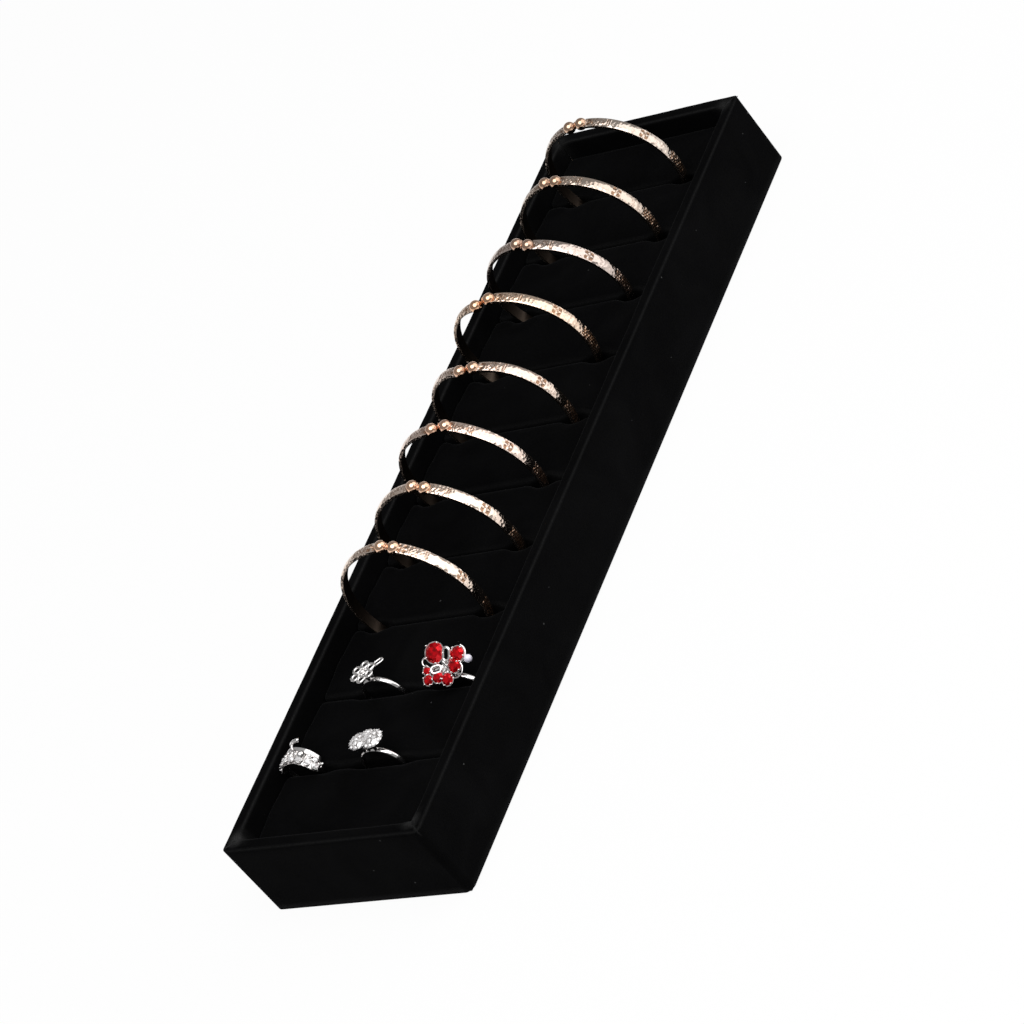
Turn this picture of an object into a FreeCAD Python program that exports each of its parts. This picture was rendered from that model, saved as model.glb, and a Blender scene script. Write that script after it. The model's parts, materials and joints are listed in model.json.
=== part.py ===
import FreeCAD, Part
import math
import os

# Jewelry tray: velvet-covered board walls round a row of velvet-covered foam pads.
# Open bangles stand in the slots between the pads, and rings in two narrower slits at the near end.
# Origin at the middle of the underside, +X right, +Y towards the far end, +Z up. Millimetres, degrees.

Vec = FreeCAD.Vector
Turn = FreeCAD.Rotation
Place = FreeCAD.Placement
X_AXIS = Vec(1, 0, 0)
Y_AXIS = Vec(0, 1, 0)
Z_AXIS = Vec(0, 0, 1)
FULL_TURN = 360.0

# Tray shell
TRAY_LENGTH = 352.0
TRAY_WIDTH = 91.0
TRAY_HEIGHT = 34.4
BOARD = 4.0
BASE_BOARD = 2.0
BOTTOM_SHEET = 0.5
BOTTOM_SHEET_INSET = 1.0
VELVET = 0.7
BOARD_RIM_ROUND = 1.0
CORNER_ROUND = 3.2

# Pads: the edge height is where a pad's upright faces would meet its top
PAD_HEIGHT = 23.4
PAD_CROWN = 0.7
PAD_CHAMFER = 1.0
PAD_COVER = 0.8
FOAM_CHAMFER = 0.6
PAD_WALL_GAP = 0.4
FAR_PAD_LENGTH = 24.6
NEAR_PAD_LENGTH = 33.45
RING_PITCH = 32.8
RING_SLITS = 2
SLOT_CLEARANCE = 0.3

# Bangles
BANGLE_RADIUS = 29.0
BANGLE_WIDTH = 4.3
BANGLE_THICKNESS = 1.5
BANGLE_CROWN = 0.35
BEAD_DIAMETER = 4.1
BEAD_SPACING = 5.5
BEAD_SEAT = 0.4
# One row for each bangle, from the far end: place across the tray as a share of the room beside it,
# lean towards the far end, lift of its lowest point off the floor lining, turn of its opening to the right
BANGLE_PLACES = (
    (0.06, 0.0, 2.6, -2.0),
    (0.04, 0.0, 1.6, -2.5),
    (-0.04, -5.0, 3.6, 4.0),
    (-0.25, 0.0, 4.4, -2.5),
    (-0.27, 2.5, 0.6, -5.5),
    (-0.39, -2.5, 1.0, 5.0),
    (-0.18, -1.0, 1.0, 9.0),
    (-0.24, 1.0, 3.0, 11.0),
)

# Rings: the shank is the part of a ring that stands in the slit; each rise is that of a ring's middle
# above the pads' edge height
SHANK_WIDTH = 2.2
SHANK_THICKNESS = 1.3
SHANK_CROWN = 0.4
RING_RADIUS = 9.5
HEAD_POST = 1.8

# Cut stones: sizes as shares of the stone's radius
STONE_TABLE = 0.58
STONE_CROWN = 0.36
STONE_POINT = 0.15
STONE_DEPTH = 0.75
STONE_SIDES = 8

# Crystal ring: a wide band that narrows into the slit, with a row of stones and a curl of wire
CRYSTAL_RING_RADIUS = 8.4
CRYSTAL_RING_RISE = 0.1
CRYSTAL_RING_WIDTH = 6.0
CRYSTAL_RING_WALL_GAP = 0.8
CRYSTAL_TAPER_START = 2.6
CRYSTAL_TAPER_END = 0.4
CRYSTAL_STONE = 2.6
CRYSTAL_STONES = 7
CRYSTAL_STONE_STEP = 23.0
CRYSTAL_STONE_SIDE = 1.5
CURL_TURN = -12.0
CURL_RADIUS = 4.9
CURL_WIRE = 0.9
CURL_SWEEP = 85.0

# Domed ring: two round domes side by side, set all over with small stones
DOMED_RING_PLACE = 5.2
DOMED_RING_RISE = -2.4
DOMED_STONE = 1.5
DOMED_STONES_ROUND = 6
DOMED_STONE_SLOPE = 0.95
DOME_RIM = 0.9
DOME_STAND = 1.9
DOME_TILT = 25.0
LEFT_DOME_RADIUS = 3.3
LEFT_DOME_RISE = 1.8
LEFT_DOME_TURN = -23.4
RIGHT_DOME_RADIUS = 4.1
RIGHT_DOME_RISE = 2.4
RIGHT_DOME_TURN = 12.1

# Filigree ring: a flower of wire loops on a post, with one leaf loop at its side
FILIGREE_RING_PLACE = -9.7
FILIGREE_RING_RISE = -2.0
FILIGREE_RING_TURN = -10.0
FILIGREE_WIRE = 0.9
PETALS = 6
PETAL_RADIUS = 1.7
PETAL_START = 40.0
FLOWER_RADIUS = 3.0
FLOWER_PLATE_RADIUS = 1.5
FLOWER_PLATE = 0.6
FLOWER_STAND = 1.8
FLOWER_TILT = 30.0
LEAF_START = 3.9
LEAF_LENGTH = 6.2
LEAF_WIDTH = 2.2
LEAF_TURN = 20.0

# Red flower ring: red stones in eight-sided cups on the arms of a hub, two wire loops and one clear bead
RED_RING_WALL_GAP = 4.8
RED_RING_RISE = -5.4
RED_HEAD_STAND = 4.2
RED_HEAD_ROLL = 12.0
RED_HEAD_TILT = 35.0
RED_HUB_RADIUS = 2.2
RED_ARM_WIDTH = 1.1
RED_ARM = 0.8
RED_CUP = 1.3
RED_CUP_WALL = 0.4
# Diameter of each red stone and its place on the head, to the right and to the far side
RED_STONES = (
    (6.8, -4.8, 4.6),
    (5.0, 4.4, 4.5),
    (4.6, 3.7, -1.2),
    (4.0, 2.0, -5.7),
    (3.6, -3.0, -4.7),
    (3.3, -6.6, -6.2),
    (2.6, -7.4, -2.6),
)
RED_LOOP_WIRE = 0.9
RED_LOOP_WIDTH = 2.8
RED_LOOP_START = 1.4
# Length of each loop and its direction, from the right
RED_LOOPS = ((5.9, 87.0), (4.9, 200.0))
BEAD_STONE = 3.1
BEAD_STONE_PLACE = (8.9, 1.9)

WALL = BOARD + 2 * VELVET
BASE_TOP = BOTTOM_SHEET + BASE_BOARD
FLOOR = BASE_TOP + VELVET
PAD_EDGE = FLOOR + PAD_HEIGHT
INNER_HALF_WIDTH = TRAY_WIDTH / 2 - WALL
INNER_HALF_LENGTH = TRAY_LENGTH / 2 - WALL
BANGLE_SLOT = BANGLE_WIDTH + 2 * SLOT_CLEARANCE
RING_SLIT = SHANK_WIDTH + 2 * SLOT_CLEARANCE
FIRST_SLOT = INNER_HALF_LENGTH - PAD_WALL_GAP - FAR_PAD_LENGTH - BANGLE_SLOT / 2
LAST_SLIT = -INNER_HALF_LENGTH + PAD_WALL_GAP + NEAR_PAD_LENGTH + RING_SLIT / 2
LAST_BANGLE_SLOT = LAST_SLIT + RING_SLITS * RING_PITCH
BANGLE_PITCH = (FIRST_SLOT - LAST_BANGLE_SLOT) / (len(BANGLE_PLACES) - 1)
BANGLE_SIDE_ROOM = INNER_HALF_WIDTH - BANGLE_RADIUS
CRYSTAL_RING_PLACE = -INNER_HALF_WIDTH + CRYSTAL_RING_WALL_GAP + CRYSTAL_RING_RADIUS
RED_RING_PLACE = INNER_HALF_WIDTH - RED_RING_WALL_GAP - RING_RADIUS


def save(name, shape):
    shape.exportStep("parts/" + name + ".step")


def block(x_range, y_range, z_range):
    size = (x_range[1] - x_range[0], y_range[1] - y_range[0], z_range[1] - z_range[0])
    return Part.makeBox(*size, Vec(x_range[0], y_range[0], z_range[0]))


def flat_face(corners):
    return Part.Face(Part.makePolygon(corners + corners[:1]))


def prism(corners, along):
    return flat_face(corners).extrude(along)


def placed(shape, place):
    moved = shape.copy()
    moved.Placement = place.multiply(moved.Placement)
    return moved


def round_rim(shape, top, along, radius):
    """Rounds the straight top edges that run along one axis."""
    edges = []
    for edge in shape.Edges:
        flat = abs(edge.BoundBox.ZMin - top) < 0.01 and abs(edge.BoundBox.ZMax - top) < 0.01
        direction = edge.lastVertex().Point - edge.firstVertex().Point
        if flat and abs(direction.dot(along)) > 0.9 * edge.Length:
            edges.append(edge)
    return shape.makeFillet(radius, edges)


# Tray shell


def round_corners(board):
    """Rounds the upright edges of a board that lie at the tray's outer corners."""
    half_width = TRAY_WIDTH / 2 - VELVET
    edges = []
    for edge in board.Edges:
        upright = edge.BoundBox.ZLength > edge.BoundBox.DiagonalLength / 2
        if upright and abs(edge.BoundBox.XMin) > half_width - BOARD / 2:
            edges.append(edge)
    return board.makeFillet(CORNER_ROUND - VELVET, edges)


def make_boards():
    half_width = TRAY_WIDTH / 2 - VELVET
    half_length = TRAY_LENGTH / 2 - VELVET
    top = TRAY_HEIGHT - VELVET
    upright = (BASE_TOP, top)
    between = (-half_width + BOARD, half_width - BOARD)
    whole = (-half_length, half_length)
    sides = {
        "left_side_board": (-half_width, -half_width + BOARD),
        "right_side_board": (half_width - BOARD, half_width),
    }
    ends = {
        "near_end_board": (-half_length, -half_length + BOARD),
        "far_end_board": (half_length - BOARD, half_length),
    }
    boards = {"base_board": round_corners(block((-half_width, half_width), whole, (BOTTOM_SHEET, BASE_TOP)))}
    for name, x_range in sides.items():
        board = round_corners(block(x_range, whole, upright))
        boards[name] = round_rim(board, top, Y_AXIS, BOARD_RIM_ROUND)
    for name, y_range in ends.items():
        boards[name] = round_rim(block(between, y_range, upright), top, X_AXIS, BOARD_RIM_ROUND)
    return boards


def make_wall_velvet(boards):
    """Velvet over each wall, from its outer foot over the rim to its inner foot, mitred at the corners."""
    half_width = TRAY_WIDTH / 2
    half_length = TRAY_LENGTH / 2
    height = (BOTTOM_SHEET, TRAY_HEIGHT)
    rim_round = BOARD_RIM_ROUND + VELVET
    envelope = block((-half_width, half_width), (-half_length, half_length), height)
    upright_edges = [edge for edge in envelope.Edges if edge.BoundBox.ZLength > height[1] / 2]
    envelope = envelope.makeFillet(CORNER_ROUND, upright_edges)
    across = (-half_width, half_width)
    along = (-half_length, half_length)
    walls = {
        "left_wall_velvet": ((-half_width, -half_width + WALL), along, Vec(-1, 0, 0)),
        "right_wall_velvet": ((half_width - WALL, half_width), along, Vec(1, 0, 0)),
        "near_wall_velvet": (across, (-half_length, -half_length + WALL), Vec(0, -1, 0)),
        "far_wall_velvet": (across, (half_length - WALL, half_length), Vec(0, 1, 0)),
    }
    covers = {}
    for name, (x_range, y_range, outward) in walls.items():
        rail = round_rim(block(x_range, y_range, height), TRAY_HEIGHT, outward.cross(Z_AXIS), rim_round)
        cover = rail.common(mitre(outward)).common(envelope)
        for board in boards.values():
            cover = cover.cut(board)
        covers[name] = cover
    return covers


def mitre(outward):
    """The ground that one wall covers: out to past its corners, cut at 45 degrees inside them."""
    reach = Vec(TRAY_WIDTH / 2, TRAY_LENGTH / 2, 0)
    sideways = Vec(-outward.y, outward.x, 0)
    middle = Vec(outward.x * reach.x, outward.y * reach.y, 0)
    half_run = abs(sideways.x) * reach.x + abs(sideways.y) * reach.y
    points = []
    for side, depth in ((-1, -WALL), (1, -WALL), (1, WALL), (-1, WALL)):
        points.append(middle + outward * depth + sideways * side * (half_run + depth))
    return prism(points, Vec(0, 0, TRAY_HEIGHT))


def make_floor():
    inset = BOTTOM_SHEET_INSET
    sheet_x = (-TRAY_WIDTH / 2 + inset, TRAY_WIDTH / 2 - inset)
    sheet_y = (-TRAY_LENGTH / 2 + inset, TRAY_LENGTH / 2 - inset)
    lining_x = (-INNER_HALF_WIDTH, INNER_HALF_WIDTH)
    lining_y = (-INNER_HALF_LENGTH, INNER_HALF_LENGTH)
    return {
        "bottom_sheet": block(sheet_x, sheet_y, (0, BOTTOM_SHEET)),
        "floor_lining": block(lining_x, lining_y, (BASE_TOP, FLOOR)),
    }


# Pads


def slots():
    """Middle, width and lean of each slot, from the far end: bangle slots first, then ring slits."""
    found = []
    for number, place in enumerate(BANGLE_PLACES):
        found.append((FIRST_SLOT - number * BANGLE_PITCH, BANGLE_SLOT, place[1]))
    for number in range(RING_SLITS):
        found.append((LAST_BANGLE_SLOT - (number + 1) * RING_PITCH, RING_SLIT, 0.0))
    return found


def pad_faces():
    """For each pad from the far end: its near and its far face, each as place at the edge and lean."""
    far = (INNER_HALF_LENGTH - PAD_WALL_GAP, 0.0)
    pads = []
    for middle, width, lean in slots():
        half_gap = width / 2 / math.cos(math.radians(lean))
        pads.append(((middle + half_gap, lean), far))
        far = (middle - half_gap, lean)
    pads.append(((-INNER_HALF_LENGTH + PAD_WALL_GAP, 0.0), far))
    return pads


def pad_block(near, far, inset):
    """A pad with sharp edges and a crowned top, its faces leaning with the slots beside it."""
    top = PAD_EDGE - inset
    half_width = INNER_HALF_WIDTH - PAD_WALL_GAP - inset
    start = Vec(-half_width, 0, 0)

    def corner(face, z, inward):
        y = face[0] + (z - PAD_EDGE) * math.tan(math.radians(face[1])) + inward * inset
        return start + Vec(0, y, z)

    near_foot = corner(near, FLOOR, 1)
    near_edge = corner(near, top, 1)
    far_edge = corner(far, top, -1)
    far_foot = corner(far, FLOOR, -1)
    crest = (near_edge + far_edge) * 0.5 + Vec(0, 0, PAD_CROWN)
    outline = Part.Wire([
        Part.LineSegment(near_foot, near_edge).toShape(),
        Part.Arc(near_edge, crest, far_edge).toShape(),
        Part.LineSegment(far_edge, far_foot).toShape(),
        Part.LineSegment(far_foot, near_foot).toShape(),
    ])
    return Part.Face(outline).extrude(Vec(2 * half_width, 0, 0))


def upper_edges(shape):
    return [edge for edge in shape.Edges if edge.BoundBox.ZMax > FLOOR + PAD_HEIGHT / 2]


def make_pads():
    bangle_pads = len(BANGLE_PLACES) - 1
    names = ["far_pad"]
    names += ["bangle_pad_%d" % (number + 1) for number in range(bangle_pads)]
    names += ["ring_pad_%d" % (number + 1) for number in range(RING_SLITS + 1)]
    pieces = {}
    for name, (near, far) in zip(names, pad_faces()):
        foam = pad_block(near, far, PAD_COVER)
        foam = foam.makeChamfer(FOAM_CHAMFER, upper_edges(foam))
        cover = pad_block(near, far, 0.0)
        cover = cover.makeChamfer(PAD_CHAMFER, upper_edges(cover))
        pieces[name + "_foam"] = foam
        pieces[name + "_velvet"] = cover.cut(foam)
    return pieces


# Bangles and rings are made round the Y axis with their tops up, then stood in their slots


def band(radius, width, thickness, crown, start, sweep):
    """A band with a flat inside and a crowned outside, from a start angle right of the top."""
    inner = radius - thickness
    shoulder = radius - crown
    half = width / 2
    outline = Part.Wire([
        Part.LineSegment(Vec(0, -half, inner), Vec(0, half, inner)).toShape(),
        Part.LineSegment(Vec(0, half, inner), Vec(0, half, shoulder)).toShape(),
        Part.Arc(Vec(0, half, shoulder), Vec(0, 0, radius), Vec(0, -half, shoulder)).toShape(),
        Part.LineSegment(Vec(0, -half, shoulder), Vec(0, -half, inner)).toShape(),
    ])
    profile = Part.Face(outline)
    profile.rotate(Vec(), Y_AXIS, start)
    return profile.revolve(Vec(), Y_AXIS, sweep)


def on_band(turn, radius, across=0.0, tilt=0.0):
    """A place on a band: turned right from the top, out along that radius, tilted to the near side."""
    out = Place(Vec(0, across, radius), Turn(X_AXIS, tilt))
    return Place(Vec(), Turn(Y_AXIS, turn)).multiply(out)


def stood(slot_middle, slot_lean, across, height, turn):
    """The standing place of a bangle or ring whose middle is at a height above the floor lining."""
    foot = slot_middle - PAD_HEIGHT * math.tan(math.radians(slot_lean))
    leaning = Place(Vec(across, foot, FLOOR), Turn(X_AXIS, -slot_lean))
    return leaning.multiply(Place(Vec(0, 0, height), Turn(Y_AXIS, turn)))


def seated_bead(side):
    """A ball whose small flat, at the origin, is soldered to the end of the band on that side."""
    radius = BEAD_DIAMETER / 2
    flat_slope = math.degrees(math.asin(1 - BEAD_SEAT / radius))
    middle = X_AXIS * -side * (radius - BEAD_SEAT)
    return Part.makeSphere(radius, middle, X_AXIS * side, -FULL_TURN / 4, flat_slope, FULL_TURN)


def make_bangles():
    bead_line = BANGLE_RADIUS - BANGLE_THICKNESS / 2
    opening = math.degrees((BEAD_SPACING / 2 + BEAD_DIAMETER / 2 - BEAD_SEAT) / bead_line)
    sweep = FULL_TURN - 2 * opening
    hoop = band(BANGLE_RADIUS, BANGLE_WIDTH, BANGLE_THICKNESS, BANGLE_CROWN, opening, sweep)
    pair = Part.Compound([placed(seated_bead(side), on_band(side * opening, bead_line)) for side in (-1, 1)])
    pieces = {}
    for number, (place, slot) in enumerate(zip(BANGLE_PLACES, slots())):
        share, lean, lift, turn = place
        stand = stood(slot[0], lean, share * BANGLE_SIDE_ROOM, BANGLE_RADIUS + lift, turn)
        name = "bangle_%d" % (number + 1)
        pieces[name + "_band"] = placed(hoop, stand)
        pieces[name + "_beads"] = placed(pair, stand)
    return pieces


def stone_outline(radius, z):
    corners = []
    for number in range(STONE_SIDES):
        turn = 2 * math.pi * number / STONE_SIDES
        corners.append(Vec(radius * math.cos(turn), radius * math.sin(turn), z))
    return corners


def cut_stone(diameter):
    """A round-cut stone with flat facets: table, girdle at its own zero height, blunt point."""
    radius = diameter / 2
    levels = [
        stone_outline(STONE_TABLE * radius, STONE_CROWN * radius),
        stone_outline(radius, 0.0),
        stone_outline(STONE_POINT * radius, -STONE_DEPTH * radius),
    ]
    faces = [flat_face(levels[0]), flat_face(levels[-1])]
    for upper, lower in zip(levels, levels[1:]):
        for number in range(STONE_SIDES):
            after = (number + 1) % STONE_SIDES
            faces.append(flat_face([upper[number], upper[after], lower[after], lower[number]]))
    return Part.makeSolid(Part.makeShell(faces))


def dome(radius, rise, rim):
    """A round dome that bulges above its rim."""
    edge = Vec(radius, 0, 0)
    ball_radius = (radius * radius + rise * rise) / (2 * rise)
    slope = math.asin(radius / ball_radius) / 2
    halfway = Vec(ball_radius * math.sin(slope), 0, rise - ball_radius * (1 - math.cos(slope)))
    top = Vec(0, 0, rise)
    outline = Part.Wire([
        Part.LineSegment(Vec(0, 0, -rim), Vec(radius, 0, -rim)).toShape(),
        Part.LineSegment(Vec(radius, 0, -rim), edge).toShape(),
        Part.Arc(edge, halfway, top).toShape(),
        Part.LineSegment(top, Vec(0, 0, -rim)).toShape(),
    ])
    return Part.Face(outline).revolve(Vec(), Z_AXIS, FULL_TURN)


def on_dome(radius, rise, slope, turn):
    """A place on a dome, standing square to its surface."""
    ball_radius = (radius * radius + rise * rise) / (2 * rise)
    lean = Place(Vec(0, 0, rise - ball_radius), Turn(Y_AXIS, slope))
    up = lean.multiply(Place(Vec(0, 0, ball_radius), Turn()))
    return Place(Vec(), Turn(Z_AXIS, turn)).multiply(up)


def bent_wire(radius, wire, start, sweep):
    """Square wire bent flat to a radius, from a start angle."""
    section = block((radius - wire / 2, radius + wire / 2), (0, wire), (-wire / 2, wire / 2)).Faces[2]
    section.rotate(Vec(), Z_AXIS, start)
    return section.revolve(Vec(), Z_AXIS, sweep)


def rounded_bar(length, width, thickness):
    """A flat bar with round ends, starting at the origin and running along +X."""
    bar = block((width / 2, length - width / 2), (-width / 2, width / 2), (-thickness / 2, thickness / 2))
    for middle in (width / 2, length - width / 2):
        bar = bar.fuse(Part.makeCylinder(width / 2, thickness, Vec(middle, 0, -thickness / 2)))
    return bar.removeSplitter()


def wire_loop(length, width, wire):
    """A flat loop of square wire with round ends, starting at the origin and running along +X."""
    opening = rounded_bar(length - 2 * wire, width - 2 * wire, 2 * wire)
    opening.translate(Vec(wire, 0, 0))
    return rounded_bar(length, width, wire).cut(opening)


def make_shank():
    return band(RING_RADIUS, SHANK_WIDTH, SHANK_THICKNESS, SHANK_CROWN, 0.0, FULL_TURN)


def head_post(turn, stand):
    """A round post that stands on a shank and carries a head."""
    foot = RING_RADIUS - SHANK_THICKNESS / 2
    return placed(Part.makeCylinder(HEAD_POST / 2, RING_RADIUS + stand - foot), on_band(turn, foot))


def make_crystal_ring():
    radius = CRYSTAL_RING_RADIUS
    wide = CRYSTAL_RING_WIDTH / 2
    slim = SHANK_WIDTH / 2
    taper = [Vec(-radius, y, z) for y, z in (
        (-slim, -radius), (slim, -radius), (slim, CRYSTAL_TAPER_END), (wide, CRYSTAL_TAPER_START),
        (wide, radius), (-wide, radius), (-wide, CRYSTAL_TAPER_START), (-slim, CRYSTAL_TAPER_END))]
    hoop = band(radius, CRYSTAL_RING_WIDTH, SHANK_THICKNESS, SHANK_CROWN, 0.0, FULL_TURN)
    hoop = hoop.common(prism(taper, Vec(2 * radius, 0, 0)))
    middle = (CRYSTAL_STONES - 1) / 2
    stones = []
    for number in range(CRYSTAL_STONES):
        seat = on_band((number - middle) * CRYSTAL_STONE_STEP, radius, -CRYSTAL_STONE_SIDE)
        stones.append(placed(cut_stone(CRYSTAL_STONE), seat))
    curl = bent_wire(CURL_RADIUS, CURL_WIRE, FULL_TURN / 2 - CURL_SWEEP, CURL_SWEEP)
    curl.translate(Vec(CURL_RADIUS, 0, 0))
    curl.rotate(Vec(), X_AXIS, FULL_TURN / 4)
    hoop = hoop.fuse(placed(curl, on_band(CURL_TURN, radius - SHANK_THICKNESS / 2, wide - CURL_WIRE)))
    for stone in stones:
        hoop = hoop.cut(stone)
    return {"crystal_ring_band": hoop, "crystal_ring_stones": Part.Compound(stones)}


def make_domed_ring():
    hoop = make_shank()
    domes = (
        (RIGHT_DOME_RADIUS, RIGHT_DOME_RISE, RIGHT_DOME_TURN),
        (LEFT_DOME_RADIUS, LEFT_DOME_RISE, LEFT_DOME_TURN),
    )
    around_step = FULL_TURN / DOMED_STONES_ROUND
    stones = []
    for radius, rise, turn in domes:
        seat = on_band(turn, RING_RADIUS + DOME_STAND, 0.0, DOME_TILT)
        hoop = hoop.fuse(head_post(turn, DOME_STAND)).fuse(placed(dome(radius, rise, DOME_RIM), seat))
        slope = math.degrees(math.atan2(rise, radius)) * DOMED_STONE_SLOPE
        stone_places = [(0.0, 0.0)]
        stone_places += [(slope, number * around_step) for number in range(DOMED_STONES_ROUND)]
        for lean, around in stone_places:
            place = seat.multiply(on_dome(radius, rise, lean, around))
            stones.append(placed(cut_stone(DOMED_STONE), place))
    for stone in stones:
        hoop = hoop.cut(stone)
    return {"domed_ring_band": hoop, "domed_ring_stones": Part.Compound(stones)}


def make_filigree_ring():
    hoop = make_shank()
    head = Part.makeCylinder(FLOWER_PLATE_RADIUS, FLOWER_PLATE, Vec(0, 0, -FLOWER_PLATE / 2))
    for number in range(PETALS):
        petal = bent_wire(PETAL_RADIUS - FILIGREE_WIRE / 2, FILIGREE_WIRE, 0.0, FULL_TURN)
        petal.translate(Vec(FLOWER_RADIUS, 0, 0))
        petal.rotate(Vec(), Z_AXIS, PETAL_START + number * FULL_TURN / PETALS)
        head = head.fuse(petal)
    leaf = wire_loop(LEAF_LENGTH, LEAF_WIDTH, FILIGREE_WIRE)
    leaf.translate(Vec(LEAF_START, 0, 0))
    leaf.rotate(Vec(), Z_AXIS, LEAF_TURN)
    seat = on_band(FILIGREE_RING_TURN, RING_RADIUS + FLOWER_STAND, 0.0, FLOWER_TILT)
    flower = head_post(FILIGREE_RING_TURN, FLOWER_STAND).fuse(placed(head.fuse(leaf), seat))
    return {"filigree_ring_band": hoop, "filigree_ring_flower": flower.cut(hoop)}


def head_arm(x, y):
    """A flat arm from the middle of a head to a place on it."""
    arm = rounded_bar(math.hypot(x, y), RED_ARM_WIDTH, RED_ARM)
    arm.rotate(Vec(), Z_AXIS, math.degrees(math.atan2(y, x)))
    return arm


def make_red_ring():
    hoop = make_shank()
    setting = Part.makeCylinder(RED_HUB_RADIUS, RED_ARM, Vec(0, 0, -RED_ARM / 2))
    girdle = RED_CUP - RED_ARM / 2
    stones = []
    for diameter, x, y in RED_STONES:
        seat = Place(Vec(x, y, girdle), Turn())
        cup = prism(stone_outline(diameter / 2 + RED_CUP_WALL, -RED_CUP), Vec(0, 0, RED_CUP))
        setting = setting.fuse(head_arm(x, y)).fuse(placed(cup, seat))
        stones.append(placed(cut_stone(diameter), seat))
    for length, direction in RED_LOOPS:
        loop = wire_loop(length, RED_LOOP_WIDTH, RED_LOOP_WIRE)
        loop.translate(Vec(RED_LOOP_START, 0, 0))
        loop.rotate(Vec(), Z_AXIS, direction)
        setting = setting.fuse(loop)
    bead = Part.makeSphere(BEAD_STONE / 2, Vec(*BEAD_STONE_PLACE, 0))
    setting = setting.fuse(head_arm(*BEAD_STONE_PLACE)).cut(bead)
    roll = Place(Vec(), Turn(Y_AXIS, RED_HEAD_ROLL))
    tilt = Place(Vec(), Turn(X_AXIS, RED_HEAD_TILT))
    seat = on_band(0.0, RING_RADIUS + RED_HEAD_STAND).multiply(roll).multiply(tilt)
    stones = [placed(stone, seat) for stone in stones]
    setting = head_post(0.0, RED_HEAD_STAND).fuse(placed(setting, seat)).cut(hoop)
    for stone in stones:
        setting = setting.cut(stone)
    return {
        "red_flower_ring_band": hoop,
        "red_flower_ring_setting": setting,
        "red_flower_ring_stones": Part.Compound(stones),
        "red_flower_ring_bead": placed(bead, seat),
    }


def make_rings():
    near_slit = slots()[-1]
    far_slit = slots()[-2]
    stands = (
        (make_crystal_ring(), near_slit, CRYSTAL_RING_PLACE, CRYSTAL_RING_RISE),
        (make_domed_ring(), near_slit, DOMED_RING_PLACE, DOMED_RING_RISE),
        (make_filigree_ring(), far_slit, FILIGREE_RING_PLACE, FILIGREE_RING_RISE),
        (make_red_ring(), far_slit, RED_RING_PLACE, RED_RING_RISE),
    )
    pieces = {}
    for ring, slit, across, rise in stands:
        stand = stood(slit[0], slit[2], across, PAD_HEIGHT + rise, 0.0)
        for name, piece in ring.items():
            pieces[name] = placed(piece, stand)
    return pieces


os.makedirs("parts", exist_ok=True)
boards = make_boards()
for group in (boards, make_wall_velvet(boards), make_floor(), make_pads(), make_bangles(), make_rings()):
    for name, shape in group.items():
        save(name, shape)
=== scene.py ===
import json
import math
import bmesh
import bpy
from mathutils import Matrix, Vector, noise

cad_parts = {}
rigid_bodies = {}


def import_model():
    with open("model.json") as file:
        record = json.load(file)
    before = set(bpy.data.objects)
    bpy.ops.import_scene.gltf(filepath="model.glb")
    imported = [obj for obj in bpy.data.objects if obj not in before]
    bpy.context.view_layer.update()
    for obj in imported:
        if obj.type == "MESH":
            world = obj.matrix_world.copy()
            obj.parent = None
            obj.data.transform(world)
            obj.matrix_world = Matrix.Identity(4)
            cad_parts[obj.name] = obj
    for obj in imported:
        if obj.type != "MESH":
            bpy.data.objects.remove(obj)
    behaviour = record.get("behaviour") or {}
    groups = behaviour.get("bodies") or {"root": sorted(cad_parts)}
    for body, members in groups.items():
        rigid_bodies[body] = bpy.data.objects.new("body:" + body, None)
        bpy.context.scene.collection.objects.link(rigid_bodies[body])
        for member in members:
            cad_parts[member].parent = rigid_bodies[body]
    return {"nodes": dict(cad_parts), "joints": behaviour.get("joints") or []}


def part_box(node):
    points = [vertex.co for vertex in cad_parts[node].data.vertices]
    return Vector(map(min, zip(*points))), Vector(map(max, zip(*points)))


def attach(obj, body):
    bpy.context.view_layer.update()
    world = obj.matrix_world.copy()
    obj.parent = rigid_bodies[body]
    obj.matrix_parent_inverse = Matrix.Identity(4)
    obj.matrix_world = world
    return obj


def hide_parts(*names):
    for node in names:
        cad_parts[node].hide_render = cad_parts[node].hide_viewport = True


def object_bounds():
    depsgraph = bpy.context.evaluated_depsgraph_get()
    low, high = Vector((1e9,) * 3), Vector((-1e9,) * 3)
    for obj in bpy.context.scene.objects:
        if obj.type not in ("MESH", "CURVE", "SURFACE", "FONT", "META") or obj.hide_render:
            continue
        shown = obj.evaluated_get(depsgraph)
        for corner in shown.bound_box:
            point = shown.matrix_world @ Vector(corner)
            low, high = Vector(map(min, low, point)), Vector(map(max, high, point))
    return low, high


for spare in list(bpy.data.objects):
    bpy.data.objects.remove(spare)
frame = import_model()
cad_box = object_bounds()
nodes = frame["nodes"]
MM = 0.001

# Boards and bottom sheet
# The tray's body is five pieces of brown fibreboard, glued where the walls meet the base. A sheet of
# black paper is glued underneath and hides the turned-in edges of the velvet.


def set_stops(elements, stops):
    """Gives a ramp its stops, each a place and a level of grey."""
    while len(elements) > 1:
        elements.remove(elements[-1])
    elements[0].position = stops[0][0]
    for place, level in stops[1:]:
        elements.new(place)
    for element, (place, level) in zip(elements, stops):
        element.color = (level, level, level, 1)


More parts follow.
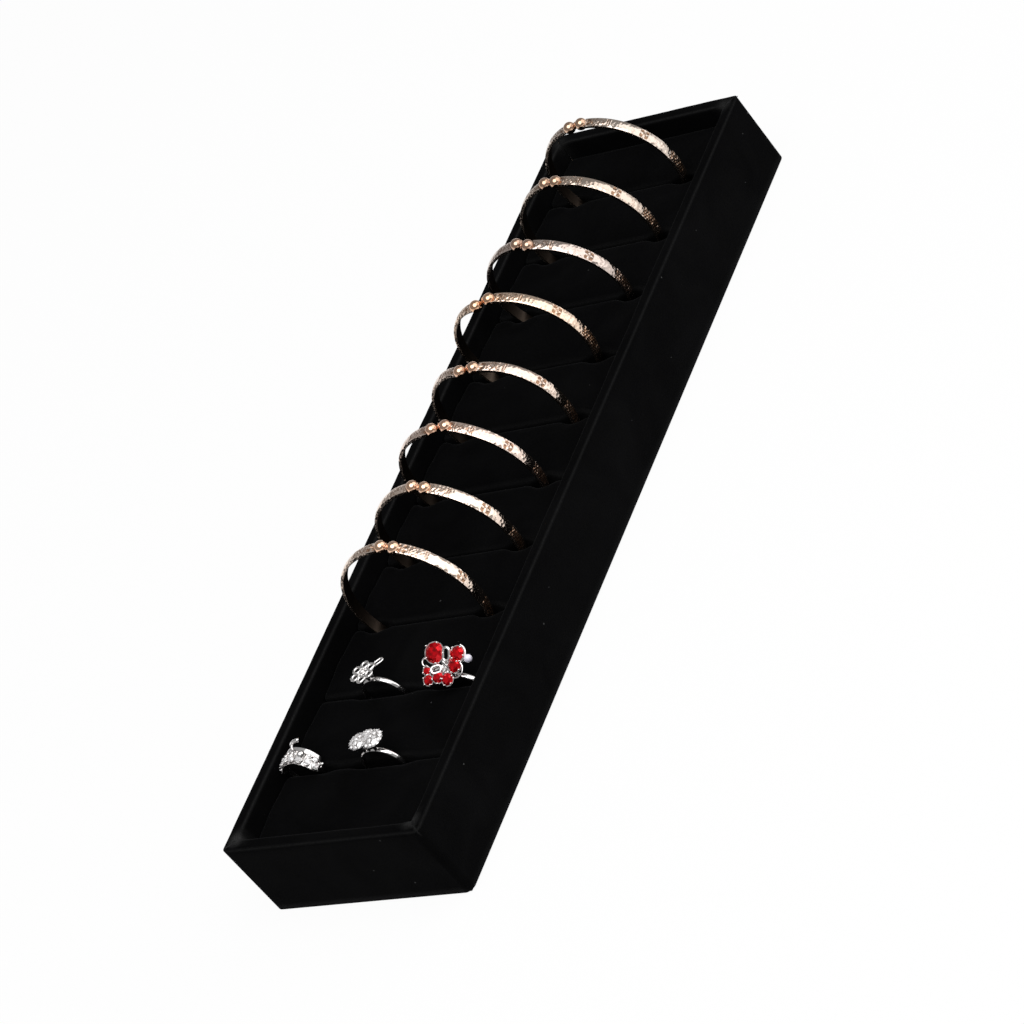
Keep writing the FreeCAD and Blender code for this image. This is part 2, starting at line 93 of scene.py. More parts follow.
class Shade:
    """A socket in a material's nodes. Arithmetic on it adds Math nodes."""

    def __init__(self, tree, socket=None):
        self.tree = tree
        self.socket = socket

    def node(self, kind, settings=None, sockets=None, out=0):
        """Adds a node: its settings first, then a value or a link for each socket."""
        made = self.tree.nodes.new("ShaderNode" + kind)
        for key, value in (settings or {}).items():
            if key == "stops":
                set_stops(made.color_ramp.elements, value)
            else:
                setattr(made, key, value)
        for key, value in (sockets or {}).items():
            if isinstance(value, Shade):
                self.tree.links.new(value.socket, made.inputs[key])
            else:
                made.inputs[key].default_value = value
        return Shade(self.tree, made.outputs[out] if made.outputs else None)

    def math(self, operation, first, second=0.0):
        return self.node("Math", {"operation": operation}, {0: first, 1: second})

    def __add__(self, other):
        return self.math("ADD", self, other)

    def __sub__(self, other):
        return self.math("SUBTRACT", self, other)

    def __rsub__(self, other):
        return self.math("SUBTRACT", other, self)

    def __mul__(self, other):
        return self.math("MULTIPLY", self, other)

    def __lt__(self, other):
        return self.math("LESS_THAN", self, other)

    __radd__ = __add__
    __rmul__ = __mul__

    def mix(self, low, high):
        """A colour between two, with this value as the share of the second."""
        return self.node("Mix", {"data_type": "RGBA"}, {0: self, 6: low, 7: high}, out=2)

    def ramp(self, *stops):
        return self.node("ValToRGB", {"stops": stops}, {0: self})

    def bump(self, strength, depth):
        return self.node("Bump", None, {"Height": self, "Strength": strength, "Distance": depth})


def rgb(red, green, blue):
    return (red, green, blue, 1.0)


def start_material(name):
    material = bpy.data.materials.new(name)
    material.use_nodes = True
    material.node_tree.nodes.clear()
    shade = Shade(material.node_tree)
    place = shade.node("TexCoord", out="Object")
    return material, shade, place


def end_material(shade, sockets):
    surface = shade.node("BsdfPrincipled", None, sockets)
    shade.node("OutputMaterial", None, {"Surface": surface})


def fibreboard():
    material, shade, place = start_material("fibreboard")
    fibres = shade.node("TexNoise", None, {"Vector": place, "Scale": 900.0, "Detail": 4.0})
    clouds = shade.node("TexNoise", None, {"Vector": place, "Scale": 60.0, "Detail": 2.0})
    tone = fibres * 0.7 + clouds * 0.3
    end_material(shade, {
        "Base Color": tone.mix(rgb(0.22, 0.15, 0.09), rgb(0.42, 0.32, 0.21)),
        "Roughness": 0.7 + fibres * 0.25,
        "Normal": fibres.bump(0.3, 0.1 * MM),
    })
    return material


def backing_paper():
    material, shade, place = start_material("backing paper")
    grain = shade.node("TexNoise", None, {"Vector": place, "Scale": 1400.0, "Detail": 5.0})
    scuffs = shade.node("TexNoise", None, {"Vector": place, "Scale": 35.0, "Detail": 6.0})
    tone = grain * 0.5 + scuffs.ramp((0.55, 0), (0.8, 1)) * 0.5
    end_material(shade, {
        "Base Color": tone.mix(rgb(0.018, 0.018, 0.019), rgb(0.05, 0.05, 0.05)),
        "Roughness": 0.6 + grain * 0.3,
        "Normal": grain.bump(0.4, 0.05 * MM),
    })
    return material


def dress(node_names, material):
    for name in node_names:
        nodes[name].material_slots[0].material = material


dress([name for name in nodes if name.endswith("_board")], fibreboard())
dress(["bottom_sheet"], backing_paper())

# Velvet on the walls
# Each wall is wrapped in one strip of black velvet, glued from its outer foot over the rim to its inner
# foot. The strips meet in mitred seams at the corners and bunch inside them. Their rims, mitres and inner
# corners are painted lighter grey, partly as rubbed pile and partly as a painted sheen.

TRAY_HALF = Vector(cad_box[1]).xy
TRAY_TOP = 34.4 * MM
WALL = 5.4 * MM
VELVET_THICK = 0.7 * MM
OUTER_FOOT = 0.5 * MM
INNER_FOOT = 2.5 * MM
GLUED_FOOT = 4.0 * MM
WALL_UNEVEN = (0.05 * MM, 0.16 * MM)
RIM_ROUND = 1.7 * MM
RIM_SEGMENTS = 6
CORNER_ROUND = 3.2 * MM
STRIP_STEP = 3.0 * MM
STRIP_LEVELS = 9
# Distances of the cuts near each end of a strip, in millimetres
CORNER_CUTS = (0.25, 0.5, 0.8, 1.2, 1.8, 2.6, 3.6, 5.0, 6.6, 8.4)
SEAM_DIP = 0.22 * MM
SEAM_WIDTH = 0.7 * MM
BUNCH_REACH = 6.0 * MM
BUNCH_DEPTH = 0.35 * MM
BUNCH_WAVES = (2.1 * MM, 1.3 * MM)
BUNCH_HEIGHTS = (10 * MM, 14 * MM)
# How far out the lighter lines and corners reach, and how grey each inner corner is painted (rubbed pile and
# painted sheen)
RUB_SHEEN_LINE = 0.7 * MM
RUB_SHEEN_CORNER = 4.5 * MM
INNER_RIM_RUB_SHEEN = 0.3
OUTER_RIM_RUB_SHEEN = 0.2
MITRE_RUB_SHEEN = 0.6
CORNER_RUB_SHEENS = {(-1, -1): 1.0, (1, -1): 0.7, (1, 1): 0.6, (-1, 1): 0.35}


def velvet():
    """Short black pile: almost no light comes back, but for a faint sheen, lint, and places painted lighter
    as rubbed pile and painted sheen.
    """
    material, shade, place = start_material("black velvet")
    pile = shade.node("TexNoise", None, {"Vector": place, "Scale": 2400.0, "Detail": 2.0})
    brushed = shade.node("TexNoise", None, {"Vector": place, "Scale": 38.0, "Detail": 3.0, "Distortion": 0.8})
    rubbed = shade.node("Attribute", {"attribute_name": "rubbed"}, out="Fac")
    lint_cell = shade.node("TexVoronoi", None, {"Vector": place, "Scale": 120.0}, out="Distance")
    lint_pick = shade.node("TexNoise", None, {"Vector": place, "Scale": 130.0, "Detail": 0.0})
    lint = (lint_cell < 0.04) * (1.0 - (lint_pick < 0.56))
    tone = brushed * 0.5 + pile * 0.5
    cloth = tone.ramp((0.3, 0), (0.7, 1)).mix(rgb(0.0006, 0.0006, 0.0007), rgb(0.0033, 0.0033, 0.0035))
    # Painted sheen, partly rubbed pile: the black is mixed towards light grey by the cloth's own attribute,
    # at rims, mitres, corners and pad lips.
    worn_and_sheen = (rubbed * (pile * 2.0 - 0.1)).mix(cloth, rgb(0.035, 0.035, 0.035))
    end_material(shade, {
        "Base Color": lint.mix(worn_and_sheen, rgb(0.042, 0.042, 0.042)),
        "Roughness": 0.8 + pile * 0.2,
        "Normal": pile.bump(0.5, 0.12 * MM),
        "Specular IOR Level": 0.02,
        "Sheen Weight": 0.03,
        "Sheen Roughness": 0.3,
        "Sheen Tint": rgb(0.75, 0.75, 0.8),
    })
    return material


velvet_black = velvet()


def add_piece(name, bm, material, body, smooth=True):
    """Makes a finished piece of a bmesh: named, painted and riding on its body."""
    bm.normal_update()
    mesh = bpy.data.meshes.new(name)
    bm.to_mesh(mesh)
    bm.free()
    for face in mesh.polygons:
        face.use_smooth = smooth
    mesh.materials.append(material)
    piece = bpy.data.objects.new(name, mesh)
    bpy.context.scene.collection.objects.link(piece)
    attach(piece, body)
    return piece


def slice_at(bm, point, normal, clear=False):
    geom = bm.verts[:] + bm.edges[:] + bm.faces[:]
    bmesh.ops.bisect_plane(bm, geom=geom, plane_co=point, plane_no=normal, clear_outer=clear)


def moved(made):
    """The new points among what an operator returned."""
    return [item for item in made if isinstance(item, bmesh.types.BMVert)]


def share_of(value, low, high):
    """How far a value is from one limit to the other, from 0 to 1, eased at both ends."""
    straight = min(1.0, max(0.0, (value - low) / (high - low)))
    return straight * straight * (3 - 2 * straight)


FINE_UNEVEN = 260.0
COARSE_UNEVEN = 45.0


def soft(point, fine, coarse):
    """A small steady unevenness of glued cloth at a point."""
    return fine * noise.noise(point * FINE_UNEVEN) + coarse * noise.noise(point * COARSE_UNEVEN)


def strip_profile(bm, outward, run, face, half_run):
    """One strip folded over its wall, cut finely enough to be shaped, with mitred ends."""
    outline = ((face, OUTER_FOOT), (face, TRAY_TOP), (face - WALL, TRAY_TOP), (face - WALL, INNER_FOOT))
    start = run * -half_run
    corners = [bm.verts.new(outward * out + Vector((0, 0, z)) + start) for out, z in outline]
    edges = [bm.edges.new(pair) for pair in zip(corners, corners[1:])]
    swept = bmesh.ops.extrude_edge_only(bm, edges=edges)["geom"]
    bmesh.ops.translate(bm, verts=moved(swept), vec=run * 2 * half_run)
    rim = [e for e in bm.edges if all(v.co.z > TRAY_TOP - MM for v in e.verts)]
    rim = [e for e in rim if abs((e.verts[0].co - e.verts[1].co).dot(run)) > half_run]
    bmesh.ops.bevel(
        bm, geom=rim, offset=RIM_ROUND, offset_type="OFFSET", segments=RIM_SEGMENTS, profile=0.5,
        affect="EDGES", material=-1)
    steps = int(2 * half_run / STRIP_STEP)
    for number in range(1, steps):
        slice_at(bm, run * (2 * number / steps - 1) * half_run, run)
    for level in range(1, STRIP_LEVELS):
        slice_at(bm, Vector((0, 0, TRAY_TOP * level / STRIP_LEVELS)), Vector((0, 0, 1)))
    for side in (-1, 1):
        for inset in CORNER_CUTS:
            slice_at(bm, run * side * (half_run - inset * MM), run)
        slice_at(bm, outward * face + run * side * half_run, run * side - outward, clear=True)


def face_out(bm, outward, face):
    """Turns the faces so that the strip's outer side looks away from the tray."""
    outer = [f for f in bm.faces if f.calc_center_median().dot(outward) > face - MM]
    if sum(f.normal.dot(outward) * f.calc_area() for f in outer) < 0:
        bmesh.ops.reverse_faces(bm, faces=bm.faces[:])
    bm.normal_update()


def velvet_wall(name, outward):
    run = Vector((-outward.y, outward.x, 0.0))
    face = abs(outward.x) * TRAY_HALF.x + abs(outward.y) * TRAY_HALF.y
    half_run = abs(run.x) * TRAY_HALF.x + abs(run.y) * TRAY_HALF.y
    bm = bmesh.new()
    strip_profile(bm, outward, run, face, half_run)
    face_out(bm, outward, face)
    rubbed = bm.verts.layers.float.new("rubbed")
    for vert in bm.verts:
        seam = half_run - abs(vert.co.dot(run)) - (face - vert.co.dot(outward))
        # Painted sheen and rubbed pile, stored on each point of the strip.
        vert[rubbed] = wall_rub_and_sheen(vert.co, face - vert.co.dot(outward), seam)
        shape_velvet(vert, outward, run, face, seam)
    piece = add_piece(name, bm, velvet_black, "tray")
    thick = piece.modifiers.new("cloth thickness", "SOLIDIFY")
    thick.thickness = VELVET_THICK
    thick.offset = -1.0
    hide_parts(name)


def wall_rub_and_sheen(point, depth, seam):
    """How much lighter the pile is painted, as rubbed pile and painted sheen: a line along each rim, more at
    the inner corners and along the mitres.
    """
    round_middle = RIM_ROUND * (1 - math.sqrt(0.5))
    below = TRAY_TOP - round_middle - point.z
    inner = math.hypot(WALL - round_middle - depth, below)
    outer = math.hypot(round_middle - depth, below)
    rim_rub_and_sheen = max(INNER_RIM_RUB_SHEEN * (1 - inner / RUB_SHEEN_LINE), OUTER_RIM_RUB_SHEEN * (1 - outer / RUB_SHEEN_LINE), 0.0)
    side = (int(math.copysign(1, point.x)), int(math.copysign(1, point.y)))
    to_corner = Vector((TRAY_HALF.x - WALL - abs(point.x), TRAY_HALF.y - WALL - abs(point.y))).length
    patch = (1 - to_corner / RUB_SHEEN_CORNER) * share_of(point.z, TRAY_TOP - 3 * RUB_SHEEN_CORNER, TRAY_TOP)
    mitre = MITRE_RUB_SHEEN * (1 - seam / RUB_SHEEN_LINE) if point.z > TRAY_TOP - RIM_ROUND else 0.0
    return max(rim_rub_and_sheen, CORNER_RUB_SHEENS[side] * max(patch, mitre))


def shape_velvet(vert, outward, run, face, seam):
    """Rounds the upright corner, dips the mitred seam and bunches the cloth inside the corner."""
    point = vert.co.copy()
    height = min(1.0, (point.z - OUTER_FOOT) / GLUED_FOOT)
    lift = soft(point, *WALL_UNEVEN) * height
    dip = SEAM_DIP * max(0.0, 1 - seam / SEAM_WIDTH)
    vert.co += vert.normal * (lift - dip)
    inset = Vector((abs(vert.co.x), abs(vert.co.y))) - TRAY_HALF + Vector((CORNER_ROUND, CORNER_ROUND))
    if inset.x > 0 and inset.y > 0 and inset.length > CORNER_ROUND:
        shrunk = inset.normalized() * CORNER_ROUND
        vert.co.x = math.copysign(TRAY_HALF.x - CORNER_ROUND + shrunk.x, vert.co.x)
        vert.co.y = math.copysign(TRAY_HALF.y - CORNER_ROUND + shrunk.y, vert.co.y)
    inner = face - point.dot(outward) > WALL - 0.5 * MM
    if inner and seam < BUNCH_REACH:
        fold = 1 + math.sin(point.z / BUNCH_WAVES[0] + abs(point.dot(run)) / BUNCH_WAVES[1])
        up = share_of(point.z, *BUNCH_HEIGHTS)
        vert.co -= outward * BUNCH_DEPTH * fold * up * (1 - seam / BUNCH_REACH)


WALLS = {
    "left": Vector((-1, 0, 0)),
    "right": Vector((1, 0, 0)),
    "near": Vector((0, -1, 0)),
    "far": Vector((0, 1, 0)),
}
for side, outward in WALLS.items():
    velvet_wall(side + "_wall_velvet", outward)

# Floor lining
# A flat piece of the same velvet lies on the base board under the pads and shows deep in the slots. It is
# cut to the floor's size, laid in loose and held down by the pads.

LINING_SIZE = (80.2 * MM, 341.2 * MM)
LINING_CUTS = (24, 96)
LINING_UNEVEN = (0.03 * MM, 0.06 * MM)


def floor_lining():
    bm = bmesh.new()
    bmesh.ops.create_grid(bm, x_segments=LINING_CUTS[0], y_segments=LINING_CUTS[1], size=0.5)
    bmesh.ops.scale(bm, verts=bm.verts, vec=(LINING_SIZE[0], LINING_SIZE[1], 1))
    for vert in bm.verts:
        vert.co.z = INNER_FOOT + VELVET_THICK - 0.1 * MM + soft(vert.co, *LINING_UNEVEN)
    piece = add_piece("floor_lining", bm, velvet_black, "tray")
    thick = piece.modifiers.new("cloth thickness", "SOLIDIFY")
    thick.thickness = VELVET_THICK - 0.2 * MM
    thick.offset = -1.0
    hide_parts("floor_lining")


floor_lining()

# Pads
# Eleven foam blocks stand across the tray, each pulled tight into a velvet cover. The gaps between them
# are the slots. The soft pads close at the top wherever no bangle or ring holds their slot open.

PADS = ["far_pad"]
PADS += ["bangle_pad_%d" % number for number in range(1, 8)]
PADS += ["ring_pad_%d" % number for number in range(1, 4)]
PAD_VOXEL = 1.2 * MM
PAD_COVER = 0.8 * MM
PAD_SWELL = 0.2 * MM
PAD_FOOT = 3.2 * MM
PAD_LIP = 25.0 * MM
# How much lighter the pads' rounded top lips are painted: a painted sheen
PAD_LIP_PAINTED_SHEEN = 0.12
LIP_SLOPE = (0.7, 0.25)
PAD_PRESSURE = 1.5
CLOTH_FRAMES = 20
CLOTH_QUALITY = 5
BANGLES = ["bangle_%d" % number for number in range(1, 9)]
BANGLE_THICK = 1.5 * MM
BANGLE_SLOT_HALF = 2.45 * MM
RINGS_BY_SLIT = (("crystal_ring", "domed_ring"), ("filigree_ring", "red_flower_ring"))
RING_SLIT_HALF = 1.4 * MM
SLOT_CLOSED = 0.2 * MM
SLOT_REACH = 20.0 * MM
PINCH_DEPTH = 6.0 * MM
PINCH_HEIGHTS = (12.0 * MM, 24.0 * MM)
MOUTH_EASE = 7.0 * MM


def foam_copy(name):
    """The foam block's own solid, merged, remeshed evenly and grown by the cover that goes over it."""
    bm = bmesh.new()
    bm.from_mesh(nodes[name + "_foam"].data)
    bmesh.ops.remove_doubles(bm, verts=bm.verts, dist=0.001 * MM)
    pad = add_piece(name, bm, velvet_black, "tray")
    remesh = pad.modifiers.new("even mesh", "REMESH")
    remesh.mode = "VOXEL"
    remesh.voxel_size = PAD_VOXEL
    keep_modified(pad)
    grow(pad)
    return pad


def keep_modified(piece):
    """Replaces a piece's mesh by what its modifiers make of it, and removes them."""
    bpy.context.view_layer.update()
    shown = piece.evaluated_get(bpy.context.evaluated_depsgraph_get())
    made = bpy.data.meshes.new_from_object(shown)
    piece.modifiers.clear()
    piece.data = made


def grow(pad):
    bm = bmesh.new()
    bm.from_mesh(pad.data)
    out = [v.normal * PAD_COVER * min(1.5, v.calc_shell_factor()) for v in bm.verts]
    for vert, step in zip(bm.verts, out):
        vert.co += step
        vert.co.z = max(vert.co.z, PAD_FOOT)
    bm.to_mesh(pad.data)
    bm.free()


def add_cover_cloth(pad):
    foot = pad.vertex_groups.new(name="foot")
    low = [v.index for v in pad.data.vertices if v.co.z < PAD_FOOT + PAD_VOXEL]
    foot.add(low, 1.0, "REPLACE")
    cloth = pad.modifiers.new("cover", "CLOTH")
    cloth.settings.use_pressure = True
    cloth.settings.uniform_pressure_force = PAD_PRESSURE
    cloth.settings.effector_weights.gravity = 0.0
    cloth.settings.vertex_group_mass = "foot"
    cloth.settings.quality = CLOTH_QUALITY


def blow_up(pads):
    """Runs the covers' cloth and keeps it, with no point further out than the slots leave room for."""
    before = {pad.name: [v.co.copy() for v in pad.data.vertices] for pad in pads}
    scene = bpy.context.scene
    for number in range(1, CLOTH_FRAMES + 1):
        scene.frame_set(number)
    for pad in pads:
        keep_modified(pad)
        for vert, start in zip(pad.data.vertices, before[pad.name]):
            step = vert.co - start
            if step.length > PAD_SWELL:
                vert.co = start + step.normalized() * PAD_SWELL
    scene.frame_set(1)


def hoop_radius(body):
    low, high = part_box(body + "_band")
    return (high.x - low.x) / 2


def hoop_stand(body, slit_body=None):
    """The standing place of a bangle or ring, read from its solid: its middle and its lean."""
    joint = next(j for j in frame["joints"] if j["child"] == body)
    lean = math.atan2(joint["axis"][1], joint["axis"][2])
    low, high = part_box(body + "_band")
    slit_low, slit_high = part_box((slit_body or body) + "_band")
    height = low.z + hoop_radius(body) * math.cos(lean)
    middle = Vector(((low.x + high.x) / 2, (slit_low.y + slit_high.y) / 2, height))
    return Matrix.Translation(middle) @ Matrix.Rotation(-lean, 4, "X")


def find_slots():
    """Each slot as its half width and its hoops: standing place, outer radius and thickness."""
    slots = []
    for body in BANGLES:
        slots.append((BANGLE_SLOT_HALF, [(hoop_stand(body), hoop_radius(body), BANGLE_THICK)]))
    for bodies in RINGS_BY_SLIT:
        hoops = [(hoop_stand(body, bodies[0]), hoop_radius(body), hoop_radius(body)) for body in bodies]
        slots.append((RING_SLIT_HALF, hoops))
    return slots


def mouth_share(point, hoops):
    """How far a slot is held open at a point by the hoops that stand in it."""
    beside = []
    for stand, radius, thick in hoops:
        local = stand.inverted() @ point
        reach = math.hypot(local.x, local.z)
        beside.append(max(reach - radius, radius - thick - reach, 0.0))
    return 1 - share_of(min(beside), 0.0, MOUTH_EASE)


def close_slots(pad, slots):
    """Moves a pad's faces towards the slots beside it, except round what stands in them."""
    low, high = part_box(pad.name + "_velvet")
    pad_middle = (low + high) / 2
    for half, hoops in slots:
        stand = hoops[0][0]
        if abs(pad_middle.y - stand.translation.y) > SLOT_REACH:
            continue
        to_slot = stand.inverted()
        side = math.copysign(1, (to_slot @ pad_middle).y)
        closing = stand.to_3x3() @ Vector((0, -side, 0)) * (half - SLOT_CLOSED)
        for vert in pad.data.vertices:
            depth = (to_slot @ vert.co).y * side - half
            if depth < PINCH_DEPTH:
                pinch = (1 - share_of(depth, 0.0, PINCH_DEPTH)) * share_of(vert.co.z, *PINCH_HEIGHTS)
                vert.co += closing * pinch * (1 - mouth_share(vert.co, hoops))


def finish_pad(pad):
    pad.vertex_groups.clear()
    rubbed = pad.data.attributes.new("rubbed", "FLOAT", "POINT")
    # Painted sheen: points on the pads' rounded top lips, picked by their slope, are painted a little
    # lighter.
    for vert, value in zip(pad.data.vertices, rubbed.data):
        edge = max(0.0, 1 - abs(vert.normal.z - LIP_SLOPE[0]) / LIP_SLOPE[1])
        value.value = PAD_LIP_PAINTED_SHEEN * edge if vert.co.z > PAD_LIP else 0.0
    subdivision = pad.modifiers.new("smooth cover", "SUBSURF")
    subdivision.levels = 1
    subdivision.render_levels = 1
    for face in pad.data.polygons:
        face.use_smooth = True
    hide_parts(pad.name + "_foam", pad.name + "_velvet")


pads = [foam_copy(name) for name in PADS]
for pad in pads:
    add_cover_cloth(pad)
blow_up(pads)
slots = find_slots()
for pad in pads:
    close_slots(pad, slots)
    finish_pad(pad)

# Bangles
# Open hoops of rose-gold plated alloy, rolled flat and pressed with panels of flowers, crossed lines and
# dots on the outside, polished in between, and much darker and rougher inside. They stand in the slots
# with openings up, and their springy ends stand a little out of line.

BANGLE_RADIUS = 29.0 * MM
BANGLE_WIDTH = 4.3 * MM
BANGLE_CROWN = 0.4 * MM
BANGLE_STEPS = 640
BANGLE_CUTS = 13
RELIEF = 0.24 * MM
RAIL = 0.84
PANEL_SHIFT = 1.1 * MM
LINE_PITCH = 0.85 * MM
DOT_PITCH = 1.15 * MM
DOT_EDGE = (0.22, 0.4)
LATTICE_TURNS = 4.2
LATTICE_SHARP = 3.2
# A pressed flower, in half widths of the band: its dot, the ring round it, its petals and its edge
PRESSED_DOT = 0.16
PRESSED_RING = 0.27
PRESSED_PETAL = (0.55, 0.3)
PRESSED_EDGE = 1.15
# Panels from the end of the band to its lowest point: kind and length in millimetres
PANELS = (
    ("flower", 3.6), ("lines", 1.7), ("lattice", 5.2), ("lines", 1.7), ("plain", 12.0), ("flower", 3.6),
    ("plain", 11.0), ("dots", 9.0), ("lines", 2.6), ("plain", 11.5), ("flower", 4.0), ("lattice", 8.4),
    ("lines", 2.6), ("plain", 30.0),
)
# Colour of each bangle, from the far one to the near one: its own rose tone, with the far bangles darkened as
# painted shade.
BANGLE_TINTS_AND_SHADE = (
    (0.70, 0.60, 0.52), (0.69, 0.57, 0.48), (0.68, 0.57, 0.51), (0.89, 0.69, 0.54),
    (0.85, 0.69, 0.59), (0.92, 0.74, 0.64), (0.96, 0.79, 0.67), (0.97, 0.80, 0.68),
)
# How far the left and the right end of each bangle is sprung to the far side, in millimetres
BANGLE_BENDS = (
    (-1.5, -0.9), (0.5, -0.1), (0.0, -1.5), (-4.3, -1.7), (-5.8, -4.3), (0.2, 1.6), (2.1, 1.2), (1.5, 1.1),
)
BEND_POWER = 5
# Openings that stand further to the right than on the solid, in degrees
TURNED_OPENINGS = {"bangle_5": 10.5, "bangle_6": 1.5}
PLAIN_CHASING = 0.45


def rose_gold(name, tint_and_shade):
    """Plated alloy: bright where it is polished, darker in the pressed hollows, much darker and rougher
    inside the hoop.
    """
    material, shade, place = start_material(name)
    cut = shade.node("Attribute", {"attribute_name": "cut"}, out="Fac")
    chased = shade.node("Attribute", {"attribute_name": "chased"}, out="Fac")
    inside = shade.node("Attribute", {"attribute_name": "inside"}, out="Fac")
    scratches = shade.node("TexNoise", None, {"Vector": place, "Scale": 1500.0, "Detail": 3.0})
    flecks = shade.node("TexNoise", None, {"Vector": place, "Scale": 800.0, "Detail": 3.0})
    facets = shade.node("TexVoronoi", None, {"Vector": place, "Scale": 750.0}, out="Distance")
    dull = cut.ramp((0.1, 0), (0.6, 1)) + chased * flecks.ramp((0.53, 0), (0.64, 0.7))
    deep = rgb(tint_and_shade[0] * 0.42, tint_and_shade[1] * 0.3, tint_and_shade[2] * 0.22)
    plated = dull.mix(rgb(*tint_and_shade), deep)
    end_material(shade, {
        "Base Color": inside.mix(plated, rgb(0.12, 0.09, 0.07)),
        "Metallic": 1.0,
        "Roughness": 0.06 + scratches * 0.06 + chased * 0.14 + dull * 0.08 + inside * 0.2,
        "Normal": (facets * chased).bump(0.7, 0.4 * MM),
    })
    return material


def panel_at(along):
    for kind, length in PANELS:
        length *= MM
        if along < length:
            return kind, along, length
        along -= length
    return "plain", along, BANGLE_RADIUS


def relief_depth(along, across):
    """How deep the pressed pattern is, from 0 to 1, at a place along the band and across it (-1 to 1)."""
    kind, start, length = panel_at(along)
    if abs(across) > RAIL or kind == "plain":
        return 0.0
    if kind == "lines":
        count = max(2, round(length / LINE_PITCH))
        return 0.3 - 0.3 * math.cos(2 * math.pi * count * start / length)
    x = (start - length / 2) / (BANGLE_WIDTH / 2)
    if kind == "lattice":
        return lattice_depth(x, across)
    if kind == "dots":
        return dots_depth(start / DOT_PITCH, across * BANGLE_WIDTH / 2 / DOT_PITCH)
    return flower_depth(x, across)


def lattice_depth(x, y):
    crossing = min(abs(math.sin(LATTICE_TURNS * (x + y))), abs(math.sin(LATTICE_TURNS * (x - y))))
    return max(0.0, 1 - LATTICE_SHARP * crossing)


def dots_depth(x, y):
    """Raised dots in staggered rows on a sunk ground."""
    row = round(y)
    stagger = 0.5 * (row % 2)
    reach = math.hypot(x - stagger - round(x - stagger), y - row)
    return share_of(reach, *DOT_EDGE)


def flower_depth(x, y):
    """Four petals round a dot, on a sunk ground."""
    reach = math.hypot(x, y)
    petals = PRESSED_PETAL[0] + PRESSED_PETAL[1] * math.cos(4 * math.atan2(y, x))
    if reach < PRESSED_DOT:
        return 0.0
    if reach < PRESSED_RING:
        return 1.0
    ground = min(1.0, max(0.0, (reach - petals) * 6))
    return ground * min(1.0, max(0.0, (PRESSED_EDGE - reach) * 4))


def stand_of_bangle(name):
    """The standing place of a bangle, with the turn of its opening read from its beads."""
    stand = hoop_stand(name)
    low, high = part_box(name + "_beads")
    opening = stand.inverted() @ ((low + high) / 2)
    turn = math.atan2(opening.x, opening.z) + math.radians(TURNED_OPENINGS.get(name, 0.0))
    return stand @ Matrix.Rotation(turn, 4, "Y")


BEAD_RADIUS = 2.05 * MM
BEAD_SPACING = 5.5 * MM
BEAD_SEAT = 0.4 * MM
BEAD_LINE = BANGLE_RADIUS - BANGLE_THICK / 2
OPENING = (BEAD_SPACING / 2 + BEAD_RADIUS - BEAD_SEAT) / BEAD_LINE


def hoop(bm, outer, inner, width, cuts, start, sweep, steps):
    """A flat-sided hoop round the Y axis, spun from a section whose outer edge has a few more points."""
    half = width / 2
    corners = ((0, -half, inner), (0, half, inner), (0, half, outer), (0, -half, outer))
    section = [bm.verts.new(corner) for corner in corners]
    edges = [bm.edges.new((section[k - 1], section[k])) for k in range(4)]
    bmesh.ops.subdivide_edges(bm, edges=[edges[3]], cuts=cuts)
    bmesh.ops.rotate(bm, verts=bm.verts, cent=(0, 0, 0), matrix=Matrix.Rotation(start, 3, "Y"))
    whole = abs(sweep - 2 * math.pi) < 1e-6
    bmesh.ops.spin(
        bm, geom=bm.verts[:] + bm.edges[:], axis=(0, 1, 0), cent=(0, 0, 0), angle=sweep, steps=steps,
        use_merge=whole)
    if not whole:
        bmesh.ops.holes_fill(bm, edges=[e for e in bm.edges if e.is_boundary], sides=0)
    bmesh.ops.recalc_face_normals(bm, faces=bm.faces)


def set_reach(vert, reach):
    """Moves a point of a hoop in or out to a distance from the hoop's axis."""
    scale = reach / math.hypot(vert.co.x, vert.co.z)
    vert.co.x *= scale
    vert.co.z *= scale


def bend(turn, ends):
    """How far a sprung bangle stands out of its plane at a turn from its opening, most at its ends."""
    end = ends[0] if turn < 0 else ends[1]
    return end * MM * (1 - abs(turn) / math.pi) ** BEND_POWER


def bangle_band(name, stand, material, ends, shift):
    bm = bmesh.new()
    hoop(
        bm, BANGLE_RADIUS, BANGLE_RADIUS - BANGLE_THICK, BANGLE_WIDTH, BANGLE_CUTS,
        OPENING, 2 * math.pi - 2 * OPENING, BANGLE_STEPS)
    cut = bm.verts.layers.float.new("cut")
    chased = bm.verts.layers.float.new("chased")
    inside = bm.verts.layers.float.new("inside")
    for vert in bm.verts:
        turn = math.atan2(vert.co.x, vert.co.z)
        across = vert.co.y / (BANGLE_WIDTH / 2)
        vert.co.y += bend(turn, ends)
        if math.hypot(vert.co.x, vert.co.z) < BEAD_LINE:
            vert[inside] = 1.0
            continue
        along = (abs(turn) - OPENING) * BANGLE_RADIUS + shift
        depth = relief_depth(along, across)
        set_reach(vert, BANGLE_RADIUS - BANGLE_CROWN * across * across - RELIEF * depth)
        vert[cut] = depth
        vert[chased] = PLAIN_CHASING if panel_at(along)[0] == "plain" else 1.0
    bmesh.ops.transform(bm, matrix=stand, verts=bm.verts)
    piece = add_piece(name + "_band", bm, material, name)
    keep_crisp(piece, 40)
    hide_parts(name + "_band")


def keep_crisp(piece, degrees):
    """Keeps edges sharper than an angle crisp under smooth shading."""
    piece.data.set_sharp_from_angle(angle=math.radians(degrees))


# Beads on the bangles
# Each end of a bangle carries a hollow polished ball of the same metal, soldered on with a small collar
# and closed with a small disc where it faces the other one. Balls, collars and discs are painted a darker
# brown than the band, as painted shade.

